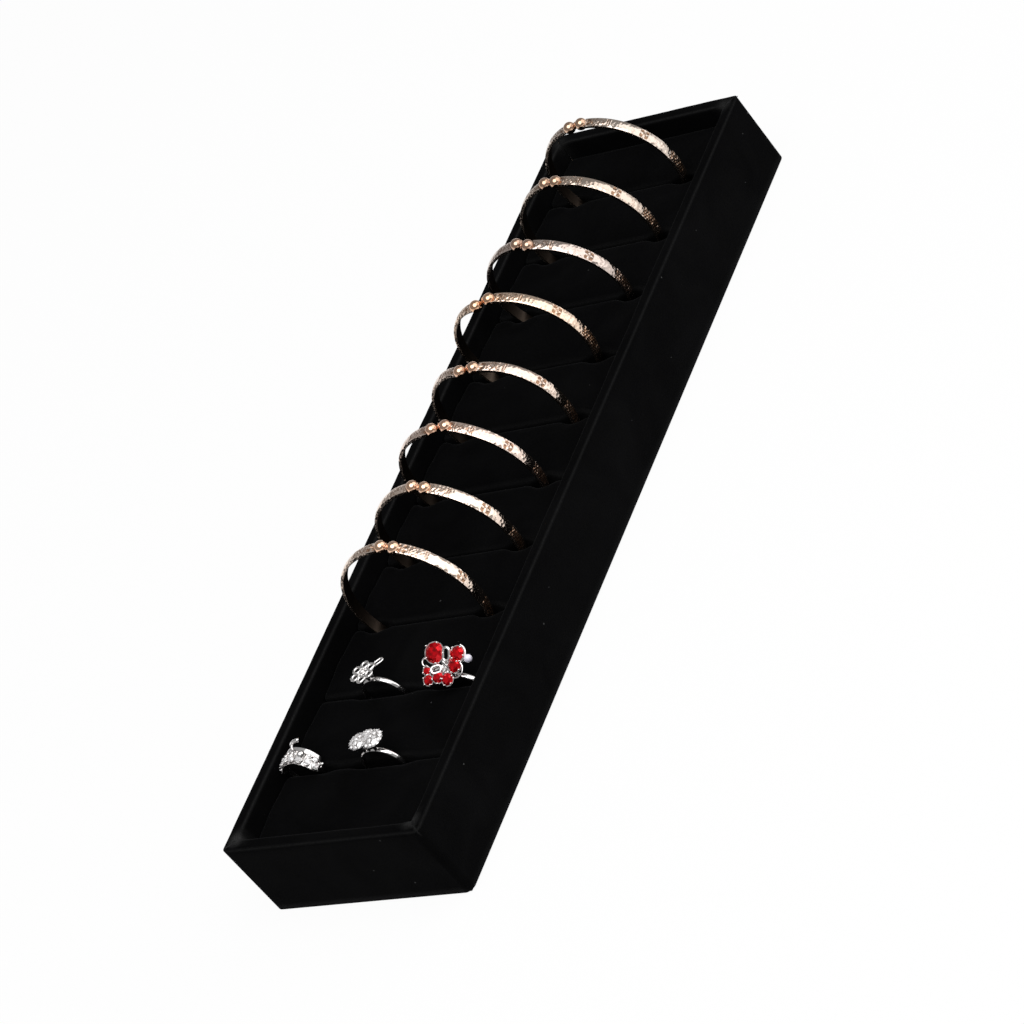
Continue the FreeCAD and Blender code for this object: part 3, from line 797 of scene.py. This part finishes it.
BEAD_TURN = BEAD_SPACING / 2 / BEAD_LINE
COLLAR_RADIUS = 1.0 * MM
DISC_RADIUS = 1.3 * MM
DISC_GAP = 0.05 * MM
COLLAR_DEPTH = 0.5 * MM
COLLAR_EDGE = 0.12 * MM
BEAD_SEGMENTS = (48, 28)
BALL_RADIUS = 2.4 * MM
# Painted shade: the band's colour darkened towards brown for the beads
BEAD_PAINTED_SHADE = (0.88, 0.69, 0.56)


def bead_disc(bm, place, radius):
    """A small round disc with rounded edges, across the line of the beads."""
    disc = bmesh.ops.create_cone(
        bm, cap_ends=True, segments=24, radius1=radius, radius2=radius, depth=COLLAR_DEPTH, matrix=place)
    edges = {e for v in disc["verts"] for e in v.link_edges}
    bmesh.ops.bevel(
        bm, geom=list(edges), offset=COLLAR_EDGE, offset_type="OFFSET", segments=2, profile=0.5,
        affect="EDGES", material=-1)


def bangle_beads(name, stand, material, ends):
    bm = bmesh.new()
    along = Matrix.Rotation(math.pi / 2, 4, "Y")
    for side in (-1, 1):
        aside = bend(side * BEAD_TURN, ends)
        place = Matrix.Rotation(side * BEAD_TURN, 4, "Y") @ Matrix.Translation((0, aside, BEAD_LINE))
        bmesh.ops.create_uvsphere(
            bm, u_segments=BEAD_SEGMENTS[0], v_segments=BEAD_SEGMENTS[1], radius=BALL_RADIUS,
            matrix=place @ along)
        collar = Matrix.Translation((side * (BALL_RADIUS - COLLAR_DEPTH / 2), 0, 0))
        bead_disc(bm, place @ collar @ along, COLLAR_RADIUS)
        disc = Matrix.Translation((-side * (BEAD_SPACING / 2 - DISC_GAP - COLLAR_DEPTH / 2), 0, 0))
        bead_disc(bm, place @ disc @ along, DISC_RADIUS)
    bmesh.ops.transform(bm, matrix=stand, verts=bm.verts)
    piece = add_piece(name + "_beads", bm, material, name)
    keep_crisp(piece, 50)
    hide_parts(name + "_beads")


for number, (tint_and_shade, ends) in enumerate(zip(BANGLE_TINTS_AND_SHADE, BANGLE_BENDS), 1):
    name = "bangle_%d" % number
    plating = rose_gold("rose gold %d" % number, tint_and_shade)
    stand = stand_of_bangle(name)
    bangle_band(name, stand, plating, ends, PANEL_SHIFT * (number % 4))
    bead_metal_shaded = rose_gold("rose gold bead %d" % number, [a * b for a, b in zip(tint_and_shade, BEAD_PAINTED_SHADE)])
    bangle_beads(name, stand, bead_metal_shaded, ends)

# Crystal ring
# A wide cast band of white metal that narrows below: a smooth rail on its far side, a row of claw-set
# stones on its near side, a leaf and balls between them, a tall curl of wire and a small hook.

SHANK_WIDTH = 1.8 * MM
SHANK_THICK = 1.3 * MM
SHANK_CROWN = 0.45 * MM
CRYSTAL_RADIUS = 8.4 * MM
CRYSTAL_WIDTH = 6.0 * MM
CRYSTAL_TAPER = (0.4 * MM, 2.6 * MM)
CRYSTAL_STEPS = 168
CRYSTAL_CUTS = 15
CRYSTAL_STONE = 2.6 * MM
CRYSTAL_STONES = 7
CRYSTAL_STEP = 23.0
CRYSTAL_SIDE = 1.5 * MM
CRYSTAL_TROUGH = 0.7 * MM
CRYSTAL_RAIL = 0.9 * MM
CRYSTAL_SCALLOP = 0.07
CURL_TURN = -5.0
CURL_LEAN = 18.0
CURL_BEND = 6.3 * MM
CURL_WIRE = 1.3 * MM
CURL_SWEEP = 75.0
LEAF_SPOT = (-6.0, 0.6 * MM)
LEAF_SIZE = Vector((1.1, 1.9, 0.6)) * MM
# Balls on the band: turn from the top, place across in millimetres, radius in millimetres
CRYSTAL_BALLS = ((24.0, 0.4, 1.6), (-24.0, 0.2, 0.8), (-45.0, 0.4, 0.9), (-60.0, 0.4, 1.1), (10.0, 0.4, 0.7))
# Small stones on the band: turn from the top and place across in millimetres
CRYSTAL_SPARKS = ((44.0, 0.9), (62.0, 0.6))
SPARK_STONE = 1.8 * MM
SPARK_RAISE = 0.2 * MM
CUP_WIRE = 0.4 * MM
CUP_DROP = 0.2 * MM
CRYSTAL_CLAW = 0.3 * MM
HOOK_TURN = 85.0
HOOK_LEAN = -57.0
HOOK_BEND = 6.0 * MM
HOOK_WIRE = 1.0 * MM
HOOK_SWEEP = 52.0


def silver():
    """White plated metal, polished but for faint wear."""
    material, shade, place = start_material("white metal")
    wear = shade.node("TexNoise", None, {"Vector": place, "Scale": 700.0, "Detail": 4.0})
    end_material(shade, {
        "Base Color": wear.ramp((0.35, 0), (0.65, 1)).mix(rgb(0.76, 0.74, 0.73), rgb(0.97, 0.95, 0.94)),
        "Metallic": 1.0,
        "Roughness": 0.07 + wear * 0.13,
        "Normal": wear.bump(0.05, 0.05 * MM),
    })
    return material


def foiled_stone(name, deep, bright, shine, coat):
    """Cut glass with a foil back: each facet flashes its own light back in the stone's colour."""
    material, shade, place = start_material(name)
    cloud = shade.node("TexNoise", None, {"Vector": place, "Scale": 700.0, "Detail": 2.0})
    end_material(shade, {
        "Base Color": cloud.ramp((0.3, 0), (0.7, 1)).mix(rgb(*deep), rgb(*bright)),
        "Metallic": shine,
        "Roughness": 0.05 + cloud * 0.1,
        "Coat Weight": coat,
        "Coat Roughness": 0.03,
    })
    return material


white_metal = silver()
clear_stone = foiled_stone("clear crystal", (0.72, 0.7, 0.7), (0.98, 0.97, 0.97), 0.35, 1.0)


def shifted(x, y, z):
    return Matrix.Translation((x, y, z))


def turned(degrees, axis):
    return Matrix.Rotation(math.radians(degrees), 4, axis)


def on_band(turn, radius, across=0.0):
    """A place on a ring: turned right from its top, out along that radius and across the band."""
    return turned(turn, "Y") @ shifted(0, across, radius)


WIRE_END = 0.6
CLAW_RISE = 0.12


def ball(bm, place, radius, segments=12):
    rings = segments // 2 + 1
    bmesh.ops.create_uvsphere(bm, u_segments=segments, v_segments=rings, radius=radius, matrix=place)


def bent_wire(bm, place, bend, wire, start=0.0, sweep=360.0, steps=28):
    """Round wire bent to a radius in its own flat, as a closed loop or an open curl with rounded ends."""
    part = bmesh.new()
    upright = shifted(bend, 0, 0) @ Matrix.Rotation(math.pi / 2, 4, "X")
    bmesh.ops.create_circle(part, segments=10, radius=wire / 2, matrix=upright)
    turn = Matrix.Rotation(math.radians(start), 3, "Z")
    bmesh.ops.rotate(part, verts=part.verts, cent=(0, 0, 0), matrix=turn)
    whole = sweep > 359.0
    bmesh.ops.spin(
        part, geom=part.verts[:] + part.edges[:], axis=(0, 0, 1), cent=(0, 0, 0), angle=math.radians(sweep),
        steps=steps, use_merge=whole)
    if not whole:
        bmesh.ops.holes_fill(part, edges=[e for e in part.edges if e.is_boundary], sides=0)
        for end in (start, start + sweep):
            ball(part, turned(end, "Z") @ shifted(bend, 0, 0), wire * WIRE_END, 10)
    join(bm, part, place)


def wire_loop(bm, place, length, width, wire):
    """A long closed loop of round wire, starting at the origin and running along +X."""
    part = bmesh.new()
    bend = (width - wire) / 2
    straight = length - width
    upright = shifted(straight, -bend, 0) @ Matrix.Rotation(math.pi / 2, 4, "Y")
    bmesh.ops.create_circle(part, segments=10, radius=wire / 2, matrix=upright)
    section = part.verts[:] + part.edges[:]
    for middle, run in ((straight, -straight), (0.0, straight)):
        bent = bmesh.ops.spin(
            part, geom=section, axis=(0, 0, 1), cent=(middle, 0, 0), angle=math.pi, steps=12)["geom_last"]
        edges = [item for item in bent if isinstance(item, bmesh.types.BMEdge)]
        pulled = bmesh.ops.extrude_edge_only(part, edges=edges)["geom"]
        ends = moved(pulled)
        bmesh.ops.translate(part, verts=ends, vec=(run, 0, 0))
        rim = [item for item in pulled if isinstance(item, bmesh.types.BMEdge)]
        section = ends + [edge for edge in rim if all(v in ends for v in edge.verts)]
    bmesh.ops.remove_doubles(part, verts=part.verts, dist=wire / 50)
    join(bm, part, place @ shifted(width / 2, 0, 0))


def join(bm, part, place):
    """Adds a part to a piece at a place, its faces looking outward."""
    bmesh.ops.recalc_face_normals(part, faces=part.faces)
    bmesh.ops.transform(part, matrix=place, verts=part.verts)
    mesh = bpy.data.meshes.new("joined")
    part.to_mesh(mesh)
    part.free()
    bm.from_mesh(mesh)
    bpy.data.meshes.remove(mesh)


def cone(bm, place, low_radius, high_radius, depth, sides):
    """A closed round bar or cone that stands on its place."""
    part = bmesh.new()
    bmesh.ops.create_cone(
        part, cap_ends=True, segments=sides, radius1=low_radius, radius2=high_radius, depth=depth,
        matrix=shifted(0, 0, depth / 2))
    join(bm, part, place)


STONE_TABLE = 0.58
STONE_CROWN = 0.36
STONE_POINT = 0.02
STONE_DEPTH = 0.75


def gem(bm, place, diameter, sides=8):
    """A round-cut stone: table, crown, girdle and pavilion."""
    part = bmesh.new()
    radius = diameter / 2
    crown = STONE_CROWN * radius
    depth = STONE_DEPTH * radius
    bmesh.ops.create_cone(
        part, cap_ends=False, segments=sides, radius1=radius, radius2=STONE_TABLE * radius, depth=crown,
        matrix=shifted(0, 0, crown / 2))
    bmesh.ops.create_cone(
        part, cap_ends=False, segments=sides, radius1=STONE_POINT * radius, radius2=radius, depth=depth,
        matrix=shifted(0, 0, -depth / 2))
    bmesh.ops.remove_doubles(part, verts=part.verts, dist=0.01 * radius)
    bmesh.ops.holes_fill(part, edges=[e for e in part.edges if e.is_boundary], sides=0)
    join(bm, part, place)


def claws(bm, place, diameter, count, size, start=0.0):
    """Small rounded claws that grip a stone's edge."""
    for number in range(count):
        turn = turned(start + number * 360.0 / count, "Z")
        ball(bm, place @ turn @ shifted(diameter / 2, 0, CLAW_RISE * diameter), size, 8)


def crystal_band(bm):
    """The wide band: narrowed below, with a sunk trough for the stones and a scalloped near edge."""
    hoop(
        bm, CRYSTAL_RADIUS, CRYSTAL_RADIUS - SHANK_THICK, CRYSTAL_WIDTH, CRYSTAL_CUTS, 0.0, 2 * math.pi,
        CRYSTAL_STEPS)
    slim = SHANK_WIDTH / CRYSTAL_WIDTH
    for vert in bm.verts:
        share = share_of(vert.co.z, *CRYSTAL_TAPER)
        across = vert.co.y / (CRYSTAL_WIDTH / 2)
        reach = math.hypot(vert.co.x, vert.co.z)
        wave = abs(math.cos(math.atan2(vert.co.x, vert.co.z) * 180 / CRYSTAL_STEP))
        near_edge = CRYSTAL_SCALLOP * wave * share if across < -0.9 else 0.0
        vert.co.y *= slim + (1 - slim) * share + near_edge
        if reach > CRYSTAL_RADIUS - SHANK_THICK / 2:
            rail = CRYSTAL_RAIL * max(0.0, math.cos(1.5 * math.atan2(vert.co.x, vert.co.z)))
            step = rail if across > 0.35 else -CRYSTAL_TROUGH
            set_reach(vert, reach - SHANK_CROWN * across * across * (1 - share / 2) + step * share)


def crystal_ring():
    stand = hoop_stand("crystal_ring")
    flat = Matrix.Rotation(math.pi / 2, 4, "X")
    bm = bmesh.new()
    stones = bmesh.new()
    crystal_band(bm)
    for number in range(CRYSTAL_STONES):
        turn = (number - (CRYSTAL_STONES - 1) / 2) * CRYSTAL_STEP
        seat = on_band(turn, CRYSTAL_RADIUS, -CRYSTAL_SIDE)
        gem(stones, seat, CRYSTAL_STONE)
        bent_wire(bm, seat @ shifted(0, 0, -CUP_DROP), CRYSTAL_STONE / 2, CUP_WIRE)
        claws(bm, seat, CRYSTAL_STONE, 4, CRYSTAL_CLAW, 45.0)
    for turn, across, radius in CRYSTAL_BALLS:
        ball(bm, on_band(turn, CRYSTAL_RADIUS, across * MM), radius * MM, 16)
    for turn, across in CRYSTAL_SPARKS:
        seat = on_band(turn, CRYSTAL_RADIUS + SPARK_RAISE, across * MM)
        gem(stones, seat, SPARK_STONE)
        bent_wire(bm, seat @ shifted(0, 0, -CUP_DROP), SPARK_STONE / 2, CUP_WIRE, steps=20)
    leaf = on_band(LEAF_SPOT[0], CRYSTAL_RADIUS, LEAF_SPOT[1])
    ball(bm, leaf @ Matrix.Diagonal(LEAF_SIZE).to_4x4(), 1.0, 16)
    curl = on_band(CURL_TURN, CRYSTAL_RADIUS, CRYSTAL_WIDTH / 2 - CURL_WIRE / 2) @ turned(CURL_LEAN, "Y")
    bent_wire(bm, curl @ flat @ shifted(CURL_BEND, 0, 0), CURL_BEND, CURL_WIRE, 180 - CURL_SWEEP, CURL_SWEEP)
    hook = on_band(HOOK_TURN, CRYSTAL_RADIUS - HOOK_WIRE, -CRYSTAL_SIDE) @ turned(HOOK_LEAN, "Y")
    bent_wire(bm, hook @ flat @ shifted(HOOK_BEND, 0, 0), HOOK_BEND, HOOK_WIRE, 180 - HOOK_SWEEP, HOOK_SWEEP)
    place_ring("crystal_ring", "crystal_ring_band", bm, stand, white_metal, crisp=40)
    place_ring("crystal_ring", "crystal_ring_stones", stones, stand, clear_stone)


def place_ring(body, node, bm, stand, material, crisp=0):
    """Stands a finished piece of a ring in its slit; stones keep flat facets, metal is smooth."""
    bmesh.ops.transform(bm, matrix=stand, verts=bm.verts)
    piece = add_piece(node, bm, material, body, smooth=bool(crisp))
    if crisp:
        keep_crisp(piece, crisp)
    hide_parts(node)


crystal_ring()

# Domed ring
# A slim white-metal ring whose head is two round domes side by side with a small one behind them, set all
# over with small stones held by grains of metal. Each has a plain rim wall and stands on a short post.

RING_RADIUS = 9.5 * MM
HEAD_POST = 1.8 * MM
DOME_RIM = 0.9 * MM
# Radius and rise of each dome, and its middle from the ring's: right, far and up, all in millimetres
DOMES = ((3.9, 1.7, 2.9, 1.0, 12.9), (3.5, 1.5, -4.1, 1.0, 12.4), (2.2, 1.3, -0.7, 3.2, 12.5))
PAVE_STONE = 1.65 * MM
PAVE_GRAIN = 0.17 * MM
PAVE_RAISE = 0.2 * MM
PAVE_PITCH = 1.18
PAVE_REACH = 0.84


def shank(bm):
    hoop(bm, RING_RADIUS, RING_RADIUS - SHANK_THICK, SHANK_WIDTH, 7, 0.0, 2 * math.pi, 120)
    for vert in bm.verts:
        reach = math.hypot(vert.co.x, vert.co.z)
        if reach > RING_RADIUS - SHANK_THICK / 2:
            across = vert.co.y / (SHANK_WIDTH / 2)
            set_reach(vert, reach - SHANK_CROWN * across * across)


def head_post(bm, seat):
    """A round post from the shank up to the middle of a head."""
    x, z = seat.translation.xz
    foot = RING_RADIUS - SHANK_THICK / 2
    turn = math.degrees(math.atan2(x, z))
    cone(bm, on_band(turn, foot), HEAD_POST / 2, HEAD_POST / 2, math.hypot(x, z) - foot, 16)


def dome(bm, place, radius, rise):
    part = bmesh.new()
    round_radius = (radius * radius + rise * rise) / (2 * rise)
    bmesh.ops.create_uvsphere(
        part, u_segments=36, v_segments=40, radius=round_radius, matrix=shifted(0, 0, rise - round_radius))
    slice_at(part, Vector((0, 0, 0)), Vector((0, 0, -1)), clear=True)
    rim = [e for e in part.edges if e.is_boundary]
    down = bmesh.ops.extrude_edge_only(part, edges=rim)["geom"]
    bmesh.ops.translate(part, verts=moved(down), vec=(0, 0, -DOME_RIM))
    bmesh.ops.holes_fill(part, edges=[e for e in part.edges if e.is_boundary], sides=0)
    join(bm, part, place)


def on_dome(radius, rise, slope, turn):
    round_radius = (radius * radius + rise * rise) / (2 * rise)
    lean = shifted(0, 0, rise - round_radius) @ Matrix.Rotation(slope, 4, "Y")
    return Matrix.Rotation(turn, 4, "Z") @ lean @ shifted(0, 0, round_radius)


def pave(bm, stones, seat, radius, rise):
    """Rows of small stones over a dome, from its top down to its rim."""
    rim_slope = 2 * math.atan2(rise, radius)
    rows = max(3, round(radius / PAVE_STONE) + 1)
    for row in range(rows):
        share = PAVE_REACH * row / (rows - 1)
        count = max(1, round(2 * math.pi * radius * share / (PAVE_STONE * PAVE_PITCH)))
        for number in range(count):
            around = 2 * math.pi * number / count + row
            spot = seat @ on_dome(radius, rise, rim_slope * share, around) @ shifted(0, 0, PAVE_RAISE)
            gem(stones, spot, PAVE_STONE)
            claws(bm, spot, PAVE_STONE * PAVE_PITCH, 3, PAVE_GRAIN, 40.0 * row)


def domed_ring():
    stand = hoop_stand("domed_ring", "crystal_ring")
    bm = bmesh.new()
    stones = bmesh.new()
    shank(bm)
    for radius, rise, x, y, z in DOMES:
        seat = shifted(x * MM, y * MM, z * MM)
        head_post(bm, seat)
        dome(bm, seat, radius * MM, rise * MM)
        pave(bm, stones, seat, radius * MM, rise * MM)
    place_ring("domed_ring", "domed_ring_band", bm, stand, white_metal, crisp=40)
    place_ring("domed_ring", "domed_ring_stones", stones, stand, clear_stone)


domed_ring()

# Filigree ring
# A slim white-metal ring with an open flower of six bent wire petals round a small plate, on a short
# post, and one long loop like a leaf at its side.

FILIGREE_WIRE = 1.1 * MM
PETALS = 6
PETAL_RADIUS = 1.95 * MM
PETAL_START = 40.0
FLOWER_RADIUS = 3.4 * MM
FLOWER_PLATE = (1.5 * MM, 0.6 * MM)
FLOWER_SPOT = Vector((-1.5, 0.0, 13.0)) * MM
FLOWER_BUD = 0.8 * MM
PETAL_GRAIN = 0.45 * MM
LEAF_LOOP = (4.6 * MM, 4.4 * MM, 2.6 * MM)
LEAF_WIRE = 0.8 * MM
LEAF_TURN = 38.0


def plain_shank(body):
    node = body + "_band"
    bm = bmesh.new()
    shank(bm)
    stand = hoop_stand(body)
    place_ring(body, node, bm, stand, white_metal, crisp=40)
    return stand


def filigree_head(bm):
    """The flower, flat round its own middle: plate, bud, petals and the leaf."""
    radius, thick = FLOWER_PLATE
    cone(bm, shifted(0, 0, -thick / 2), radius, radius, thick, 24)
    ball(bm, shifted(0, 0, thick / 2), FLOWER_BUD, 16)
    for number in range(PETALS):
        around = turned(PETAL_START + number * 360.0 / PETALS, "Z")
        bent_wire(bm, around @ shifted(FLOWER_RADIUS, 0, 0), PETAL_RADIUS - FILIGREE_WIRE / 2, FILIGREE_WIRE)
        ball(bm, around @ shifted(radius, 0, thick / 2), PETAL_GRAIN, 10)
    start, length, width = LEAF_LOOP
    wire_loop(bm, turned(LEAF_TURN, "Z") @ shifted(start, 0, 0), length, width, LEAF_WIRE)


def filigree_ring():
    stand = plain_shank("filigree_ring")
    head = bmesh.new()
    filigree_head(head)
    bm = bmesh.new()
    seat = Matrix.Translation(FLOWER_SPOT)
    head_post(bm, seat)
    join(bm, head, seat)
    place_ring("filigree_ring", "filigree_ring_flower", bm, stand, white_metal, crisp=50)


filigree_ring()

# Red flower ring
# A slim white-metal ring whose head is a hub with arms. Red glass stones sit on the arms in claw cups,
# with two ribbon loops, thin wire scrolls between them and one clear bead at the side.

RED_STAND = 4.2 * MM
RED_ROLL = 12.0
RED_TILT = 35.0
RED_HUB = 2.2 * MM
RED_HUB_TAPER = 0.8
RED_ARM = (1.1 * MM, 0.8 * MM)
RED_CUP = 1.3 * MM
RED_CUP_TAPER = 0.7
RED_CUP_WALL = 0.25 * MM
RED_CLAW = 0.4 * MM
# Diameter of each red stone and its place on the head, to the right and to the far side, in millimetres
RED_STONES = (
    (7.6, -4.8, 4.5),
    (5.4, 4.4, 4.5),
    (5.2, 3.6, 0.4),
    (4.6, 1.1, -4.5),
    (4.2, -2.8, -4.0),
    (3.8, -6.6, -5.1),
    (3.0, -7.4, -1.9),
)
RED_LOOP_WIRE = 1.1 * MM
RED_LOOP_WIDTH = 3.6 * MM
RED_LOOP_START = 1.4 * MM
RED_LOOP_LEAN = -12.0
# Length of each ribbon loop in millimetres and its direction, from the right
RED_LOOPS = ((5.9, 87.0), (4.9, 200.0))
# Thin scrolls: place on the head, bend, start and sweep of each
SCROLL_WIRE = 0.7 * MM
SCROLLS = (
    (4.4, 4.5, 3.2, -60.0, 130.0),
    (3.9, -1.0, 3.0, -100.0, 150.0),
    (-8.0, 1.2, 1.5, 90.0, 200.0),
)
BEAD_STONE = 3.1 * MM
BEAD_SPOT = (8.3, 3.0)

red_stone = foiled_stone("red glass", (0.25, 0.0, 0.002), (0.95, 0.0, 0.008), 0.6, 0.1)
lilac_bead = foiled_stone("lilac glass", (0.82, 0.76, 0.96), (0.97, 0.95, 1.0), 0.0, 1.0)


def head_arm(bm, x, y):
    """A flat arm from the middle of the head to a place on it, with its end rounded."""
    width, thick = RED_ARM
    length = math.hypot(x, y)
    part = bmesh.new()
    bmesh.ops.create_cube(part, size=1.0, matrix=shifted(length / 2, 0, 0))
    bmesh.ops.scale(part, verts=part.verts, vec=(1, width, thick))
    for vert in part.verts:
        vert.co.x = length if vert.co.x > length / 2 else 0.0
    bmesh.ops.bevel(
        part, geom=part.edges[:], offset=thick / 4, offset_type="OFFSET", segments=2, profile=0.5,
        affect="EDGES", material=-1)
    join(bm, part, Matrix.Rotation(math.atan2(y, x), 4, "Z"))


def red_setting(bm):
    """The head's metal, flat round its own middle: hub, arms, cups with claws, loops and scrolls."""
    thick = RED_ARM[1]
    cone(bm, shifted(0, 0, -thick / 2), RED_HUB, RED_HUB * RED_HUB_TAPER, thick, 24)
    for diameter, x, y in RED_STONES:
        radius = diameter / 2 * MM
        head_arm(bm, x * MM, y * MM)
        foot = shifted(x * MM, y * MM, -thick / 2)
        cone(bm, foot, radius * RED_CUP_TAPER, radius + RED_CUP_WALL, RED_CUP, 20)
        claws(bm, foot @ shifted(0, 0, RED_CUP), diameter * MM, 5, RED_CLAW, 30.0 * x)
    for length, direction in RED_LOOPS:
        lean = turned(direction, "Z") @ turned(RED_LOOP_LEAN, "Y")
        start = lean @ shifted(RED_LOOP_START, 0, thick / 2)
        wire_loop(bm, start, length * MM, RED_LOOP_WIDTH, RED_LOOP_WIRE)
    for x, y, bend, start, sweep in SCROLLS:
        bent_wire(bm, shifted(x * MM, y * MM, thick), bend * MM, SCROLL_WIRE, start, sweep)
    head_arm(bm, BEAD_SPOT[0] * MM, BEAD_SPOT[1] * MM)


def red_flower_ring():
    stand = plain_shank("red_flower_ring")
    seat = on_band(0.0, RING_RADIUS + RED_STAND) @ turned(RED_ROLL, "Y") @ turned(RED_TILT, "X")
    head = bmesh.new()
    red_setting(head)
    bm = bmesh.new()
    head_post(bm, seat)
    join(bm, head, seat)
    stones = bmesh.new()
    girdle = RED_CUP - RED_ARM[1] / 2
    for diameter, x, y in RED_STONES:
        gem(stones, seat @ shifted(x * MM, y * MM, girdle), diameter * MM, 10)
    bead = bmesh.new()
    ball(bead, seat @ shifted(BEAD_SPOT[0] * MM, BEAD_SPOT[1] * MM, 0), BEAD_STONE / 2, 24)
    body = "red_flower_ring"
    place_ring(body, "red_flower_ring_setting", bm, stand, white_metal, crisp=45)
    place_ring(body, "red_flower_ring_stones", stones, stand, red_stone)
    place_ring(body, "red_flower_ring_bead", bead, stand, lilac_bead, crisp=60)


red_flower_ring()

# Floor, light and camera
# A plain white floor that keeps the tray's shadow, a large round panel at the far right, a round softbox
# overhead, and the camera at the photographed angle.

FLOOR_HALF = 4.0
FLOOR_DROP = 0.3 * MM
FLOOR_WHITE = 0.95
SKY = 0.17
SKY_IN_METAL = 0.3


def white_floor():
    material, shade = start_material("white floor")[:2]
    kinds = ("Is Camera Ray", "Is Glossy Ray", "Is Transmission Ray")
    camera_ray, glossy_ray, clear_ray = [shade.node("LightPath", out=kind) for kind in kinds]
    paint = shade.node("BsdfDiffuse", None, {"Color": rgb(0.9, 0.9, 0.9)})
    glow = shade.node("Emission", None, {"Color": rgb(1, 1, 1), "Strength": 1.0})
    seen = (camera_ray + glossy_ray + clear_ray) * FLOOR_WHITE
    surface = shade.node("MixShader", None, {0: seen, 1: paint, 2: glow})
    shade.node("OutputMaterial", None, {"Surface": surface})
    bm = bmesh.new()
    bmesh.ops.create_grid(bm, x_segments=1, y_segments=1, size=FLOOR_HALF, matrix=shifted(0, 0, -FLOOR_DROP))
    mesh = bpy.data.meshes.new("floor")
    bm.to_mesh(mesh)
    bm.free()
    mesh.materials.append(material)
    floor = bpy.data.objects.new("floor", mesh)
    bpy.context.scene.collection.objects.link(floor)


def softbox(name, place, size, power):
    lamp = bpy.data.lights.new(name, "AREA")
    lamp.shape = "DISK"
    lamp.size = size
    lamp.energy = power
    holder = bpy.data.objects.new(name, lamp)
    holder.location = place
    holder.rotation_euler = Vector(place).to_track_quat("Z", "Y").to_euler()
    bpy.context.scene.collection.objects.link(holder)


def studio_world():
    world = bpy.data.worlds.new("studio")
    world.use_nodes = True
    world.node_tree.nodes.clear()
    shade = Shade(world.node_tree)
    glossy_ray = shade.node("LightPath", out="Is Glossy Ray")
    strength = SKY + glossy_ray * (SKY_IN_METAL - SKY)
    sky = shade.node("Background", None, {"Color": rgb(1, 1, 1), "Strength": strength})
    shade.node("OutputWorld", None, {"Surface": sky})
    bpy.context.scene.world = world


CAMERA_PLACE = Vector((0.979016, -0.883101, 0.854175))
CAMERA_RIGHT = Vector((0.76763702, 0.33505593, -0.54632493))
CAMERA_UP = Vector((0.1255232, 0.75734114, 0.64084189))
CAMERA_LENS = 149.84
CAMERA_SENSOR = 36.0


def camera():
    lens = bpy.data.cameras.new("camera")
    lens.lens = CAMERA_LENS
    lens.sensor_width = CAMERA_SENSOR
    lens.clip_end = 20.0
    holder = bpy.data.objects.new("camera", lens)
    axes = Matrix((CAMERA_RIGHT, CAMERA_UP, CAMERA_RIGHT.cross(CAMERA_UP))).transposed().to_4x4()
    holder.matrix_world = Matrix.Translation(CAMERA_PLACE) @ axes
    bpy.context.scene.collection.objects.link(holder)
    bpy.context.scene.camera = holder


white_floor()
studio_world()
softbox("far right panel", (1.25, 0.88, 0.8), 2.2, 16.0)
softbox("overhead", (0.44, -0.40, 1.37), 1.7, 20.0)
camera()
bpy.context.scene.view_settings.view_transform = "Standard"
